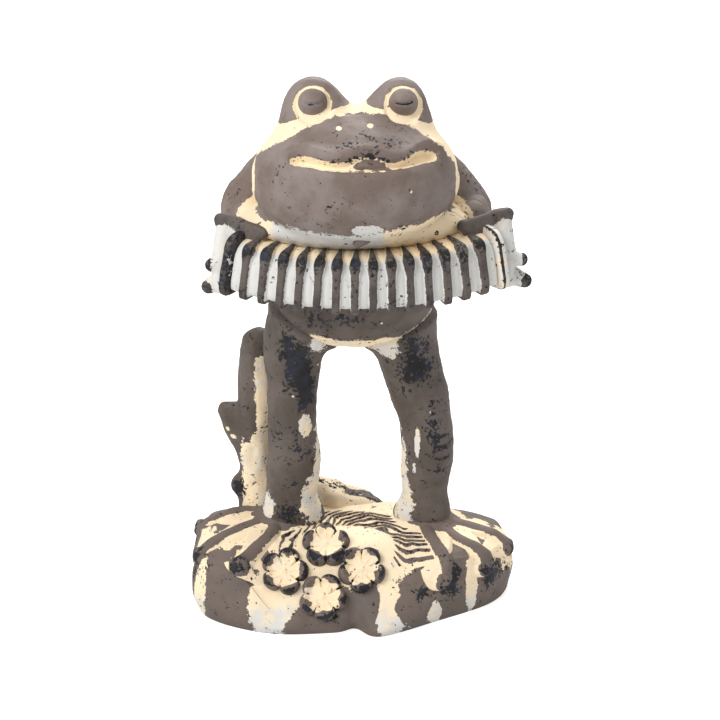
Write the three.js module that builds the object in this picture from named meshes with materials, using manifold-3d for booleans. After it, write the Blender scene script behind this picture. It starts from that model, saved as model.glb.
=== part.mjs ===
// Cast-stone garden frog that stands on a rock and plays a small accordion.
// Millimetres, +Z up. The frog looks along -Y, so its own right side is at -X.
// The origin is the middle of the flat underside.
//
// The figure is cast in sections that are bedded against each other and pinned
// with steel bar. Every section is built as a full shape, and is then cut back by
// the shapes that it beds on, grown by the bedding gap.
import * as THREE from "three";
import { mergeVertices } from "three/addons/utils/BufferGeometryUtils.js";
import Module from "manifold-3d";

const wasm = await Module();
wasm.setup();

// ---------------------------------------------------------------- driving sizes
const beddingGap = 0.3; // between any two sections, filled with adhesive mortar
const barClearance = 0.4; // grout around a bar, on the radius

const plinth = { width: 240, front: 78, back: 62, height: 56, lip: 0.06 };
const rockFall = { crown: 8, front: 36, back: 10, left: 6 };
const foot = { spread: 54, lead: 2, thickness: 5, web: 4, heel: 18, toe: 6.2 };
const leg = { rise: 143, girth: 19 };
const torso = { width: 126, depth: 94, height: 134, sink: 7 };
const head = { width: 139, depth: 118, height: 84, forward: 38, overlap: 38, brow: 0.2 };
const mouth = { width: 94, rise: 17, arch: 3, groove: 3.4 };
const eye = { spacing: 60, offset: 2, hood: 20.5, ball: 10.5, rise: 43, look: 8 };
const arm = { girth: 18, lean: 39, brow: 23 };
const bellows = { width: 180, bow: 24, depth: 41, height: 41, pleats: 13, ridge: 2.6 };
const fan = { offset: 6, lift: 7, roll: 2, splay: 0.16 };
const board = { thickness: 7, margin: 2 };
const hand = { palm: 5.5, finger: 4.8, reach: { right: 24, left: 29 } };
const ledge = { length: 84, width: 38, height: 15, tilt: 0.27 };
const stump = { shortfall: 1, girth: 13, setback: 22, beside: 22 };
const flower = { radius: 17, thickness: 6, petals: 5 };
const legBar = { diameter: 8, embed: 36 };
const dowel = { diameter: 8, length: 58 };
const armPin = { diameter: 6, length: 50 };
const bellowsBar = { diameter: 6, overrun: 8 };
const stumpBar = { diameter: 6, embed: 30 };

// ------------------------------------------------------- heights that follow on
const ankleZ = plinth.height + foot.thickness;
const hipZ = ankleZ + leg.rise;
const torsoZ = hipZ - torso.sink + torso.height / 2;
const headZ = torsoZ + torso.height / 2 - head.overlap + head.height / 2;
const chinZ = headZ - head.height / 2;
const bellowsZ = chinZ - bellows.height / 2 - 2;
const bellowsFront = torso.depth / 2 + bellows.depth;
const stumpHeight = leg.rise - stump.shortfall;

// --------------------------------------------------------------------- helpers
const { PI, sin, cos, abs, asin, acos, sqrt, atan2, max, min } = Math;
const vec = (x, y, z) => new THREE.Vector3(x, y, z);
const signOf = { right: -1, left: 1 };

// 0 below a, 1 above b, and a smooth rise between
function ramp(a, b, x) {
  const t = min(1, max(0, (x - a) / (b - a)));
  return t * t * (3 - 2 * t);
}

// A closed geometry as a solid for cutting and joining
function solidOf(geometry) {
  const bare = geometry.clone();
  bare.deleteAttribute("normal");
  bare.deleteAttribute("uv");
  const merged = mergeVertices(bare, 1e-3);
  return new wasm.Manifold(
    new wasm.Mesh({
      numProp: 3,
      vertProperties: merged.attributes.position.array,
      triVerts: new Uint32Array(merged.index.array),
    }),
  );
}

function geometryOf(solid) {
  const made = solid.getMesh();
  const positions = new Float32Array(made.numVert * 3);
  for (let i = 0; i < made.numVert; i++) {
    const first = i * made.numProp;
    positions.set(made.vertProperties.subarray(first, first + 3), i * 3);
  }
  const geometry = new THREE.BufferGeometry();
  geometry.setAttribute("position", new THREE.BufferAttribute(positions, 3));
  geometry.setIndex(new THREE.BufferAttribute(made.triVerts, 1));
  return geometry;
}

const cut = (solid, ...tools) => tools.reduce((rest, tool) => rest.subtract(tool), solid);
const join = (...solids) => solids.reduce((all, one) => all.add(one));

// The largest piece of a cut, without the crumbs that two close shapes leave
function mainBody(solid) {
  return solid.decompose().reduce((a, b) => (b.volume() > a.volume() ? b : a));
}

// A sphere grid with its pole on +Z, whose points are moved by
// place(angle around, 0 at the top pole to 1 at the bottom pole, direction)
function formed(columns, rows, place) {
  const geometry = new THREE.SphereGeometry(1, columns, rows);
  geometry.rotateX(PI / 2);
  const points = geometry.attributes.position;
  const direction = vec(0, 0, 0);
  for (let i = 0; i < points.count; i++) {
    direction.fromBufferAttribute(points, i).normalize();
    const down = acos(max(-1, min(1, direction.z))) / PI;
    const moved = place(atan2(direction.y, direction.x), down, direction);
    points.setXYZ(i, moved.x, moved.y, moved.z);
  }
  return solidOf(geometry);
}

// How far an egg reaches along a direction: fuller than an ellipsoid where power > 2
function fullness(d, power) {
  return (abs(d.x) ** power + abs(d.y) ** power + abs(d.z) ** power) ** (-1 / power);
}

function egg(centre, half, columns, rows, power = 2) {
  return formed(columns, rows, (angle, down, d) =>
    d.clone().multiply(half).multiplyScalar(fullness(d, power)).add(centre),
  );
}

// A limb through stations {at, wide, deep}: an oval section carried along a smooth
// curve, with rounded ends. `side` is the direction in which `wide` is measured.
function limb(stations, side, sides, rows, grow = 0, rounding = 0.12) {
  const path = new THREE.CatmullRomCurve3(stations.map((s) => s.at));
  const girth = new THREE.CatmullRomCurve3(stations.map((s) => vec(s.wide, s.deep, 0)));
  return formed(sides, rows, (around, down, d) => {
    const t = (1 - d.z) / 2;
    const end = min(t, 1 - t) / rounding;
    const share = end < 1 ? sqrt(max(0, 1 - (1 - end) ** 2)) : 1;
    const tangent = path.getTangent(t);
    const deepWay = vec(0, 0, 0).crossVectors(tangent, side).normalize();
    const wideWay = vec(0, 0, 0).crossVectors(deepWay, tangent).normalize();
    const size = girth.getPoint(t);
    const point = path.getPoint(t);
    point.addScaledVector(tangent, (t < 0.5 ? -1 : 1) * grow * (1 - share));
    point.addScaledVector(wideWay, cos(around) * (size.x + grow) * share);
    return point.addScaledVector(deepWay, -sin(around) * (size.y + grow) * share);
  });
}

// A round station for a limb
const round = (at, radius) => ({ at, wide: radius, deep: radius });

// A round bar along a line or a curve
function bar(points, diameter, steps) {
  const section = new THREE.Shape();
  section.absarc(0, 0, diameter / 2, 0, 2 * PI);
  const bent = points.length > 2;
  const path = bent ? new THREE.CatmullRomCurve3(points) : new THREE.LineCurve3(...points);
  return solidOf(
    new THREE.ExtrudeGeometry(section, { steps, curveSegments: 4, extrudePath: path }),
  );
}

// The hole that a bar lies in, with clearance at its side and its ends
function holeFor(points, diameter, steps) {
  const last = points.length - 1;
  const first = points[0].clone().sub(points[1]).setLength(barClearance).add(points[0]);
  const end = points[last].clone().sub(points[last - 1]).setLength(barClearance);
  const longer = [first, ...points.slice(1, last), end.add(points[last])];
  return bar(longer, diameter + 2 * barClearance, steps);
}

// ----------------------------------------------------------------- rock plinth
// The rock's outline in plan, as shares of half its width and half its depth,
// anticlockwise from the frog's left side. The front has a nose and a notch.
const rockOutline = new THREE.CatmullRomCurve3(
  [
    [0.99, 0.02], [0.88, 0.5], [0.52, 0.9], [0, 1], [-0.56, 0.94], [-0.93, 0.5],
    [-1, -0.1], [-0.94, -0.66], [-0.56, -0.98], [-0.14, -0.98], [0, -0.9], [0.15, -1.05],
    [0.5, -0.77], [0.87, -0.4],
  ].map(([x, y]) => vec((x * plinth.width) / 2, y * (y < 0 ? plinth.front : plinth.back), 0)),
  true,
);

// Height of the rock's top at a place in plan: a low dome that falls away to the
// back and to the left, with a sunken front between the feet
function rockTop(x, y) {
  const across = (2 * x) / plinth.width;
  const along = y / (y < 0 ? plinth.front : plinth.back);
  const dome = plinth.height - rockFall.crown * (across ** 2 + along ** 2) ** 1.5;
  const back = rockFall.back * ramp(0.3, 1, along);
  const left = rockFall.left * ramp(0.2, 1, across);
  const middle = 1 - ramp(0.38, 0.68, abs(across + 0.06));
  return dome - back - left - rockFall.front * ramp(0.45, 1.1, -along) * middle;
}

const onRock = (x, y, above = 0) => vec(x, y, rockTop(x, y) + above);

// The skin runs from the middle of the top over the rim, bulges at the side and
// comes back to the flat base
function plinthShape(grow = 0) {
  const rimAt = 0.5;
  const baseAt = 0.8;
  const rimShare = 1 - plinth.lip;
  return formed(48, 15, (angle, down) => {
    const edge = rockOutline.getPoint((angle / (2 * PI) + 1) % 1);
    edge.setLength(edge.length() + grow);
    if (down <= rimAt + 1e-6) {
      const point = edge.clone().multiplyScalar((rimShare * down) / rimAt);
      return onRock(point.x, point.y, grow);
    }
    const side = min(1, (down - rimAt) / (baseAt - rimAt));
    const inwards = min(1, (1 - down) / (1 - baseAt));
    const rim = edge.clone().multiplyScalar(rimShare);
    const bulge = rimShare + plinth.lip * sin(side * PI * 0.8);
    const point = edge.multiplyScalar(bulge * inwards);
    point.z = (rockTop(rim.x, rim.y) + grow) * (1 - side);
    return point;
  });
}

// A low outcrop that closes the back of the rock, highest beside the right foot
function ledgeShape(grow = 0) {
  const centre = onRock(-14, 34, -2);
  const half = vec(ledge.length / 2 + grow, ledge.width / 2 + grow, ledge.height + grow);
  return formed(16, 10, (angle, down, d) => {
    const point = d.clone().multiply(half).multiplyScalar(fullness(d, 2.4));
    point.z -= point.x * ledge.tilt;
    return point.add(centre);
  });
}

// ------------------------------------------------------------------------ feet
// Each toe in plan, as two steps from the ankle: to its knuckle and to its tip
const toes = {
  right: [[[-24, 12], [-56, 2]], [[-30, -18], [-53, -35]], [[-9, -32], [-26, -56]]],
  left: [[[0, -26], [12, -56]], [[22, -28], [42, -37]], [[34, -8], [54, -13]]],
};

const ankleAt = (side) => vec(signOf[side] * foot.spread, foot.lead, ankleZ);

// A toe lies along the rock and ends in a knob that hangs over the rim
function toeShape(ankle, [knuckle, tip], grow) {
  const x = (step) => ankle.x + step[0];
  const y = (step) => ankle.y + step[1];
  const over = [tip[0] * 1.05, tip[1] * 1.05];
  const stations = [
    round(onRock(ankle.x, ankle.y, 2), foot.toe),
    round(onRock(x(knuckle), y(knuckle), 0.5), foot.toe),
    round(onRock(x(tip), y(tip), -1), foot.toe * 1.1),
    round(onRock(x(over), y(over), -6), foot.toe * 1.05),
  ];
  return limb(stations, vec(0, 0, 1), 8, 8, grow, 0.2);
}

// Thin webs between the toes: a fan whose edge runs from toe to toe
function webShape(side, grow) {
  const ankle = ankleAt(side);
  return formed(22, 6, (angle, down) => {
    const out = down < 0.7 ? down / 0.7 : (1 - down) / 0.3;
    let reach = foot.heel;
    for (const [, tip] of toes[side]) {
      const off = angle - atan2(tip[1], tip[0]);
      const near = Math.exp(-((atan2(sin(off), cos(off)) / 0.42) ** 2));
      reach = max(reach, near * 0.85 * Math.hypot(...tip));
    }
    const x = ankle.x + cos(angle) * (reach + grow) * out;
    const y = ankle.y + sin(angle) * (reach + grow) * out;
    return onRock(x, y, down < 0.7 ? foot.web + grow : -4);
  });
}

function footShape(side, grow = 0) {
  const ankle = ankleAt(side);
  const half = vec(foot.heel + grow, foot.heel + grow, foot.thickness + 3 + grow);
  const heel = egg(onRock(ankle.x, ankle.y), half, 14, 8, 2.3);
  return join(heel, webShape(side, grow), ...toes[side].map((toe) => toeShape(ankle, toe, grow)));
}

// ------------------------------------------------------------------------ legs
// Stations from ankle to hip: steps from the ankle, share of the rise, share of girth
const legStations = {
  right: [
    [3, 0, -0.02, 0.84], [7, -3, 0.17, 0.98], [9, -6, 0.34, 1.02], [8, -6, 0.56, 0.92],
    [9, -4, 0.76, 1], [10, -1, 0.96, 1.18], [20, 3, 1.16, 1.2],
  ],
  left: [
    [-1, 0, -0.02, 0.78], [-2, -4, 0.2, 0.94], [-0.5, -8, 0.36, 1], [-3, -7, 0.56, 1.02],
    [-9, -4, 0.72, 1.12], [-16, -1, 0.92, 1.2], [-22, 3, 1.14, 1.24],
  ],
};

function legPath(side) {
  const ankle = ankleAt(side);
  return legStations[side].map(([x, y, up]) => ankle.clone().add(vec(x, y, up * leg.rise)));
}

function legShape(side, grow = 0) {
  const path = legPath(side);
  const stations = legStations[side].map(([, , , girth], i) => round(path[i], leg.girth * girth));
  return limb(stations, vec(1, 0, 0), 14, 14, grow, 0.06);
}

// A bar down the middle of each leg, from the rock into the torso
function legBarPath(side) {
  const path = legPath(side);
  const down = path[0].clone().setZ(plinth.height - legBar.embed);
  const up = path[6].clone().setZ(hipZ + legBar.embed);
  return [down, ...path.slice(0, 6), up];
}

// ------------------------------------------------------------------ tree stump
const stumpPoint = (x, y, up) =>
  vec(x - foot.spread - stump.beside, y + stump.setback, plinth.height + up * stumpHeight);

// A trunk behind the right leg, with a broken branch and a knot on its outer side
function stumpShape(grow = 0) {
  const trunk = limb(
    [
      round(stumpPoint(4, 0, -0.1), stump.girth * 1.25),
      round(stumpPoint(1, 0, 0.2), stump.girth),
      round(stumpPoint(2, 0, 0.5), stump.girth * 1.08),
      round(stumpPoint(3, -2, 0.8), stump.girth),
      round(stumpPoint(4, -4, 0.97), stump.girth * 1.02),
    ],
    vec(1, 0, 0), 12, 10, grow, 0.08,
  );
  const branch = limb(
    [
      round(stumpPoint(-1, 0, 0.27), 8),
      round(stumpPoint(-12, 0, 0.4), 8.5),
      round(stumpPoint(-20, 0, 0.53), 6.5),
    ],
    vec(0, 1, 0), 10, 6, grow, 0.25,
  );
  const knot = egg(stumpPoint(-9, 0, 0.15), vec(7 + grow, 8 + grow, 6 + grow), 10, 6);
  return join(trunk, branch, knot);
}

const stumpBarPath = [
  stumpPoint(3, 0, 0).setZ(plinth.height - stumpBar.embed),
  stumpPoint(3, -1, 0.85),
];

// -------------------------------------------------------------------- accordion
// The bellows bow forwards: the front edge is an arc through both ends and the bow
const frontRadius = ((bellows.width / 2) ** 2 + bellows.bow ** 2) / (2 * bellows.bow);

// A place on the accordion: share of half its width (0 in the middle, 1 at its left
// end), depth behind the front edge, and height from the middle of the folds
function onFan(share, behind, z) {
  const swing = asin((share * bellows.width) / 2 / frontRadius);
  const reach = frontRadius - behind;
  return vec(
    fan.offset + sin(swing) * reach + fan.splay * -z * share,
    frontRadius - bellowsFront - cos(swing) * reach,
    bellowsZ + z + fan.lift * share ** 2 + fan.roll * share,
  );
}

// Millimetres past the end of the folds, as a share for onFan
const past = (mm) => 1 + mm / (bellows.width / 2);

// A rounded square section carried along the fan, with a ridge at every fold
function bellowsShape(grow = 0) {
  const rings = 2 * bellows.pleats + 1;
  return formed(12, rings + 1, (around, down) => {
    const ring = Math.round(down * (rings + 1));
    const cap = ring === 0 || ring === rings + 1;
    const along = min(1, max(0, (ring - 1) / (rings - 1)));
    const share = (2 * along - 1) * past(grow);
    const square = fullness(vec(cos(around), sin(around), 0), 6) * (cap ? 0 : 1);
    const fold = (ring % 2 === 1 ? 0 : -bellows.ridge) + grow;
    const deep = cos(around) * square * (bellows.depth / 2 + fold);
    const high = sin(around) * square * (bellows.height / 2 + fold);
    return onFan(share, bellows.depth / 2 - deep, high);
  });
}

// A flat plate with rounded corners that closes one end of the bellows
function boardShape(side, grow = 0) {
  const wide = bellows.depth / 2 + board.margin + grow;
  const high = bellows.height / 2 + board.margin + grow;
  const corner = 6;
  const outline = new THREE.Shape();
  outline.absarc(wide - corner, -high + corner, corner, -PI / 2, 0);
  outline.absarc(wide - corner, high - corner, corner, 0, PI / 2);
  outline.absarc(-wide + corner, high - corner, corner, PI / 2, PI);
  outline.absarc(-wide + corner, -high + corner, corner, PI, 1.5 * PI);
  const depth = board.thickness + 2 * grow;
  const plate = new THREE.ExtrudeGeometry(outline, { depth, bevelEnabled: false, curveSegments: 2 });
  plate.translate(0, 0, -depth / 2);
  const share = signOf[side] * past(beddingGap + board.thickness / 2);
  const middle = onFan(share, bellows.depth / 2, 0);
  const forward = onFan(share, 0, 0).sub(middle).normalize();
  const up = onFan(share, bellows.depth / 2, 1).sub(middle).normalize();
  const through = vec(0, 0, 0).crossVectors(forward, up);
  plate.applyMatrix4(new THREE.Matrix4().makeBasis(forward, up, through).setPosition(middle));
  return solidOf(plate);
}

// A steel bar that follows the fan, through both boards and into the palms
function bellowsBarPath() {
  const end = past(board.thickness + bellowsBar.overrun);
  return [-1, -0.66, -0.33, 0, 0.33, 0.66, 1].map((t) => onFan(t * end, bellows.depth / 2, 0));
}

// Palm outside the end board, a thumb along the top and two fingertips that stick out.
// Places are millimetres outwards, backwards and upwards from the board's outer face.
function handShape(side, grow = 0) {
  const s = signOf[side];
  const face = onFan(s * past(board.thickness), bellows.depth / 2, 0);
  const at = (out, back, up) => face.clone().add(vec(s * out, back, up));
  const top = bellows.height / 2;
  const palm = limb(
    [
      { at: at(8, 6, top - 2), wide: hand.palm * 1.4, deep: hand.palm * 1.8 },
      { at: at(9, -3, 0), wide: hand.palm * 1.6, deep: hand.palm * 2.2 },
      { at: at(10, -6, 3 - top), wide: hand.palm * 1.4, deep: hand.palm * 1.8 },
    ],
    vec(1, 0, 0), 8, 6, grow, 0.25,
  );
  const thumb = limb(
    [
      round(at(16, 16, top - 3), hand.finger * 1.3),
      round(at(0, 6, top + 6), hand.finger * 1.1),
      round(at(-20, -4, top + 5), hand.finger),
    ],
    vec(0, 0, 1), 8, 6, grow, 0.25,
  );
  const fingers = [-2, 1 - top].map((up) =>
    limb(
      [
        round(at(4, -4, up), hand.finger),
        round(at(hand.reach[side] / 2, -5, up), hand.finger * 1.05),
        round(at(hand.reach[side], -7, up - 1), hand.finger * 1.1),
      ],
      vec(0, 0, 1), 8, 6, grow, 0.3,
    ),
  );
  return join(palm, thumb, ...fingers);
}

// -------------------------------------------------------------- torso and arms
function torsoShape(grow = 0) {
  const half = vec(torso.width / 2 + grow, torso.depth / 2 + grow, torso.height / 2 + grow);
  return egg(vec(0, 0, torsoZ), half, 24, 14, 2.3);
}

// From behind the eye hood, down the slope of the shoulder and over the elbow, to
// behind the end board. Steps are shares of the arm's lean, and heights from the
// middle of the head.
const armSteps = [[0, -6, 36], [0.23, -5, 20], [0.41, -3, 2], [0.72, -1, -16], [1, 0, -36]];
const armGirths = [0.56, 0.72, 0.81, 0.89, 0.97, 0.66];

function armPath(side) {
  const s = signOf[side];
  const wrist = onFan(s * past(board.thickness + 4), bellows.depth + 2, bellows.height / 2 - 4);
  const brow = torso.width / 2 - arm.brow;
  const shoulder = armSteps.map(([out, y, up]) => vec(s * (brow + out * arm.lean), y, headZ + up));
  return [...shoulder, wrist];
}

function armShape(side, grow = 0) {
  const stations = armPath(side).map((at, i) => round(at, arm.girth * armGirths[i]));
  return limb(stations, vec(0, 1, 0), 12, 10, grow, 0.1);
}

function armPinPath(side) {
  const shoulder = vec(signOf[side] * (torso.width / 2 + 19), 3, headZ - 28);
  return [shoulder.clone().add(vec(-signOf[side] * armPin.length, 0, -4)), shoulder];
}

// ------------------------------------------------------------------------ head
const headCentre = vec(0, -head.forward, headZ);
const skullPower = 2.2;

// The skull narrows over the brow
const browShare = (height) => 1 - head.brow * ramp(-0.1, 1, height);

function skullShape(grow = 0) {
  const half = vec(head.width / 2 + grow, head.depth / 2 + grow, head.height / 2 + grow);
  return formed(28, 18, (angle, down, d) => {
    const point = d.clone().multiply(half).multiplyScalar(fullness(d, skullPower));
    point.x *= browShare(d.z);
    return point.add(headCentre);
  });
}

// The face's surface in front of a place: across, and up from the head's middle
function onFace(x, up) {
  const wide = (head.width / 2) * browShare((2 * up) / head.height);
  const rest = 1 - abs(x / wide) ** skullPower - abs((2 * up) / head.height) ** skullPower;
  const out = (head.depth / 2) * max(0, rest) ** (1 / skullPower);
  return vec(x, headCentre.y - out, headZ + up);
}

// The open smile is a groove that the lips stand around
function mouthGroove() {
  const stations = [-1, -0.5, 0, 0.5, 1].map((t) => {
    const up = mouth.rise + mouth.arch * (1 - t * t);
    return round(onFace((t * mouth.width) / 2, up), mouth.groove);
  });
  return limb(stations, vec(0, 0, 1), 8, 10, 0, 0.05);
}

function eyeAt(side) {
  const across = eye.offset + (signOf[side] * eye.spacing) / 2;
  return vec(across, headCentre.y + 6, headZ + eye.rise);
}

function hoodShape(side, grow = 0) {
  const hood = eye.hood + grow;
  return egg(eyeAt(side), vec(hood, hood * 0.86, hood * 1.08), 16, 10);
}

function eyeballShape(side, grow = 0) {
  const centre = eyeAt(side).add(vec(0, -eye.hood * 0.86 + eye.ball * 0.6, eye.look));
  const ball = eye.ball + grow;
  return egg(centre, vec(ball, ball, ball), 12, 8);
}

const headShape = (grow = 0) =>
  join(skullShape(grow), hoodShape("right", grow), hoodShape("left", grow));

const neckPath = [
  vec(0, -14, chinZ - dowel.length * 0.35),
  vec(0, -14, chinZ + dowel.length * 0.65),
];

// A small tied knot under the chin, on top of the bellows
function knotShape(grow = 0) {
  const z = bellowsZ + bellows.height / 2 + 3;
  const y = 16 - bellowsFront;
  return limb(
    [
      round(vec(13, y + 1, z + 4), 4),
      round(vec(7, y, z), 3.4),
      round(vec(0, y - 1, z - 0.5), 4),
    ],
    vec(0, 1, 0), 8, 6, grow, 0.25,
  );
}

// --------------------------------------------------------------------- flowers
const flowerPlaces = [[-52, -54], [-22, -40], [4, -54], [-24, -66]];

// A low cup of rounded petals, square to the slope of the rock under it
function flowerShape([x, y], grow = 0) {
  const step = 4;
  const slopeX = (rockTop(x + step, y) - rockTop(x - step, y)) / (2 * step);
  const slopeY = (rockTop(x, y + step) - rockTop(x, y - step)) / (2 * step);
  const up = vec(-slopeX, -slopeY, 1).normalize();
  const turn = new THREE.Quaternion().setFromUnitVectors(vec(0, 0, 1), up);
  return formed(20, 7, (angle, down) => {
    const petal = abs(cos((angle * flower.petals) / 2));
    const edge = flower.radius * (0.8 + 0.2 * petal) + grow;
    const top = down < 0.6;
    const out = top ? down / 0.6 : (1 - down) / 0.4;
    const cup = 0.3 + 0.7 * ramp(0.25, 0.75, out) - 0.8 * ramp(0.8, 1, out);
    const z = top ? flower.thickness * cup + grow : -5;
    const point = vec(cos(angle) * edge * out, sin(angle) * edge * out, z);
    return point.applyQuaternion(turn).add(onRock(x, y));
  });
}

// -------------------------------------------------------------------- assembly
const finishes = {
  taupe: { color: 0x877a75, roughness: 0.85, metalness: 0 },
  cream: { color: 0xefe6d3, roughness: 0.9, metalness: 0 },
  steel: { color: 0x6e6a66, roughness: 0.6, metalness: 0.9 },
};

const frog = new THREE.Group();

function add(name, solid, finish) {
  const material = new THREE.MeshStandardMaterial(finishes[finish]);
  const mesh = new THREE.Mesh(geometryOf(mainBody(solid)), material);
  mesh.name = name;
  frog.add(mesh);
}

const sides = ["right", "left"];
const grown = (shape) => sides.map((side) => shape(side, beddingGap));
const rock = plinthShape(beddingGap);
const grownFeet = grown(footShape);
const grownLegs = grown(legShape);
const grownArms = grown(armShape);
const grownBoards = grown(boardShape);
const grownEyes = grown(eyeballShape);
const grownTorso = torsoShape(beddingGap);
const grownHead = headShape(beddingGap);
const grownLedge = ledgeShape(beddingGap);

const barSteps = 10;
const legBars = sides.map(legBarPath);
const armPins = sides.map(armPinPath);
const barPath = bellowsBarPath();
const legHoles = legBars.map((path) => holeFor(path, legBar.diameter, barSteps));
const armHoles = armPins.map((path) => holeFor(path, armPin.diameter, 1));
const barHole = holeFor(barPath, bellowsBar.diameter, barSteps);
const neckHole = holeFor(neckPath, dowel.diameter, 1);
const stumpHole = holeFor(stumpBarPath, stumpBar.diameter, 1);

// Rock, ledge and flowers
add("rock_plinth", cut(plinthShape(), ...legHoles, stumpHole), "taupe");
add("rock_ledge", cut(ledgeShape(), rock, ...grownFeet, ...grownLegs), "cream");
flowerPlaces.forEach((place, i) => {
  const earlier = flowerPlaces.slice(0, i).map((other) => flowerShape(other, beddingGap));
  add(`flower_${i + 1}`, cut(flowerShape(place), rock, ...earlier, ...grownFeet), "cream");
});

// Feet, legs and stump
sides.forEach((side, i) => {
  const legCuts = [rock, grownFeet[i], grownTorso, legHoles[i]];
  add(`${side}_foot`, cut(footShape(side), rock, legHoles[i], stumpHole), "taupe");
  add(`${side}_leg`, cut(legShape(side), ...legCuts), "taupe");
  add(`${side}_leg_bar`, bar(legBars[i], legBar.diameter, barSteps), "steel");
});
const stumpCuts = [rock, grownFeet[0], grownLegs[0], grownTorso, grownLedge, stumpHole];
add("tree_stump", cut(stumpShape(), ...stumpCuts), "taupe");
add("stump_bar", bar(stumpBarPath, stumpBar.diameter, 1), "steel");

// Torso, head and arms
add("torso", cut(torsoShape(), grownHead, neckHole, ...legHoles, ...armHoles), "taupe");
add("head", cut(headShape(), ...grownEyes, mouthGroove(), neckHole), "taupe");
add("neck_dowel", bar(neckPath, dowel.diameter, 1), "steel");
add("throat_knot", cut(knotShape(), grownHead), "taupe");
sides.forEach((side, i) => {
  const armCuts = [grownTorso, grownHead, armHoles[i], grownBoards[i]];
  add(`${side}_eyeball`, eyeballShape(side), "taupe");
  add(`${side}_arm`, cut(armShape(side), ...armCuts), "taupe");
  add(`${side}_shoulder_pin`, bar(armPins[i], armPin.diameter, 1), "steel");
});

// Accordion and hands
const foldCuts = [grownTorso, grownHead, knotShape(beddingGap), ...grownArms, barHole];
add("bellows", cut(bellowsShape(), ...foldCuts, ...grownBoards), "cream");
sides.forEach((side, i) => {
  const handCuts = [grownBoards[i], grownArms[i], bellowsShape(beddingGap), grownHead, barHole];
  add(`${side}_end_board`, cut(boardShape(side), barHole), "taupe");
  add(`${side}_hand`, cut(handShape(side), ...handCuts), "taupe");
});
add("accordion_bar", bar(barPath, bellowsBar.diameter, barSteps), "steel");

export default frog;
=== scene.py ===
# Garden frog of painted cast stone: it stands on a flowered rock and plays an accordion.
# Shapes are worked out in millimetres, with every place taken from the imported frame.
import bpy
import numpy as np
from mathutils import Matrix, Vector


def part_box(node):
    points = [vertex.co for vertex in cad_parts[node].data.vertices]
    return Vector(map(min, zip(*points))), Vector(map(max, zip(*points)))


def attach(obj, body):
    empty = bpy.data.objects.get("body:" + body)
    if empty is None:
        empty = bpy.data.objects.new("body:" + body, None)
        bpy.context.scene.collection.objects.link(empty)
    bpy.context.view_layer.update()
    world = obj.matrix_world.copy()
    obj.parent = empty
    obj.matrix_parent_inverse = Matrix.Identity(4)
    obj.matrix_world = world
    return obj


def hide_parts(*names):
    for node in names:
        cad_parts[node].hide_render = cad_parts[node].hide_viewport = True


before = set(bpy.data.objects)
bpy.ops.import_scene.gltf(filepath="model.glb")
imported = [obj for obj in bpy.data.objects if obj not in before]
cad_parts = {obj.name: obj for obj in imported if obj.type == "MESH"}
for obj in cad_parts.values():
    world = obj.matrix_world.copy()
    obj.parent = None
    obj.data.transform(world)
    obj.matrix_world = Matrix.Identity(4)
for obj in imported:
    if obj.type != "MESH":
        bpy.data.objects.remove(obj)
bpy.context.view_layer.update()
mm = 0.001
signOf = {"right": -1, "left": 1}  # the frog's own right is at -X
print("frame loaded,", len(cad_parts), "nodes")


def nodeBox(node):
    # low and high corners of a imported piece, mm
    low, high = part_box(node)
    return np.array(low) / mm, np.array(high) / mm


def middleOf(node):
    low, high = nodeBox(node)
    return (low + high) / 2


# ---- small shapes of numbers

def ramp(a, b, x):
    # 0 below a, 1 above b, and a smooth rise between
    t = np.clip((x - a) / (b - a), 0, 1)
    return t * t * (3 - 2 * t)


def near(gap, close, far):
    # 1 up to close, 0 beyond far, and a smooth fall between
    return 1 - ramp(close, far, gap)


def hill(x, width):
    # 1 at nothing, with a bell-shaped fall at both sides
    return np.exp(-((x / width) ** 2))


def vec(*numbers):
    return np.array(numbers, float)


def spots(p, places):
    # the sum of soft patches, each (centre, size, amount), with a bell-shaped fall
    total = np.zeros(p.shape[:-1])
    for centre, size, amount in places:
        total += amount * np.exp(-(((p - centre) / size) ** 2).sum(-1))
    return total


def lumps(p, size, seed=0):
    # value noise from -1 to 1: hashed heights at the corners of a lattice, blended smoothly
    q = p / size + seed * 17.3
    cell = np.floor(q).astype(np.int64)
    part = q - cell
    part = part * part * (3 - 2 * part)
    total = 0
    for corner in np.ndindex(2, 2, 2):
        at = cell + corner
        mix = (at[..., 0] * 73856093) ^ (at[..., 1] * 19349663) ^ (at[..., 2] * 83492791)
        mix = ((mix ^ (mix >> 13)) * 1274126177) & 0x7FFFFFFF
        height = ((mix ^ (mix >> 15)) & 0xFFFF) / 0xFFFF
        total = total + height * np.where(corner, part, 1 - part).prod(-1)
    return 2 * total - 1


def smoothPath(stations, count):
    # Catmull-Rom curve through the stations, whose other columns are carried along with it
    s = np.asarray(stations, float)
    s = np.vstack([2 * s[0] - s[1], s, 2 * s[-1] - s[-2]])
    t = np.linspace(0, len(s) - 3 - 1e-9, count)
    i = t.astype(int)
    f = (t - i)[:, None]
    a, b, c, d = s[i], s[i + 1], s[i + 2], s[i + 3]
    return 0.5 * (2 * b + (c - a) * f + (2 * a - 5 * b + 4 * c - d) * f**2
                  + (3 * b - a - 3 * c + d) * f**3)


# ---- fields: negative inside a shape, and about the distance from it outside

def eggField(p, centre, half, power=2.0):
    # power norm of the scaled step from the centre, less one, over its own slope
    q = np.abs((p - centre) / half) + 1e-6
    norm = (q**power).sum(-1) ** (1 / power)
    slope = np.sqrt((((q / norm[..., None]) ** (power - 1) / half) ** 2).sum(-1))
    return (norm - 1) / slope


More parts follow.
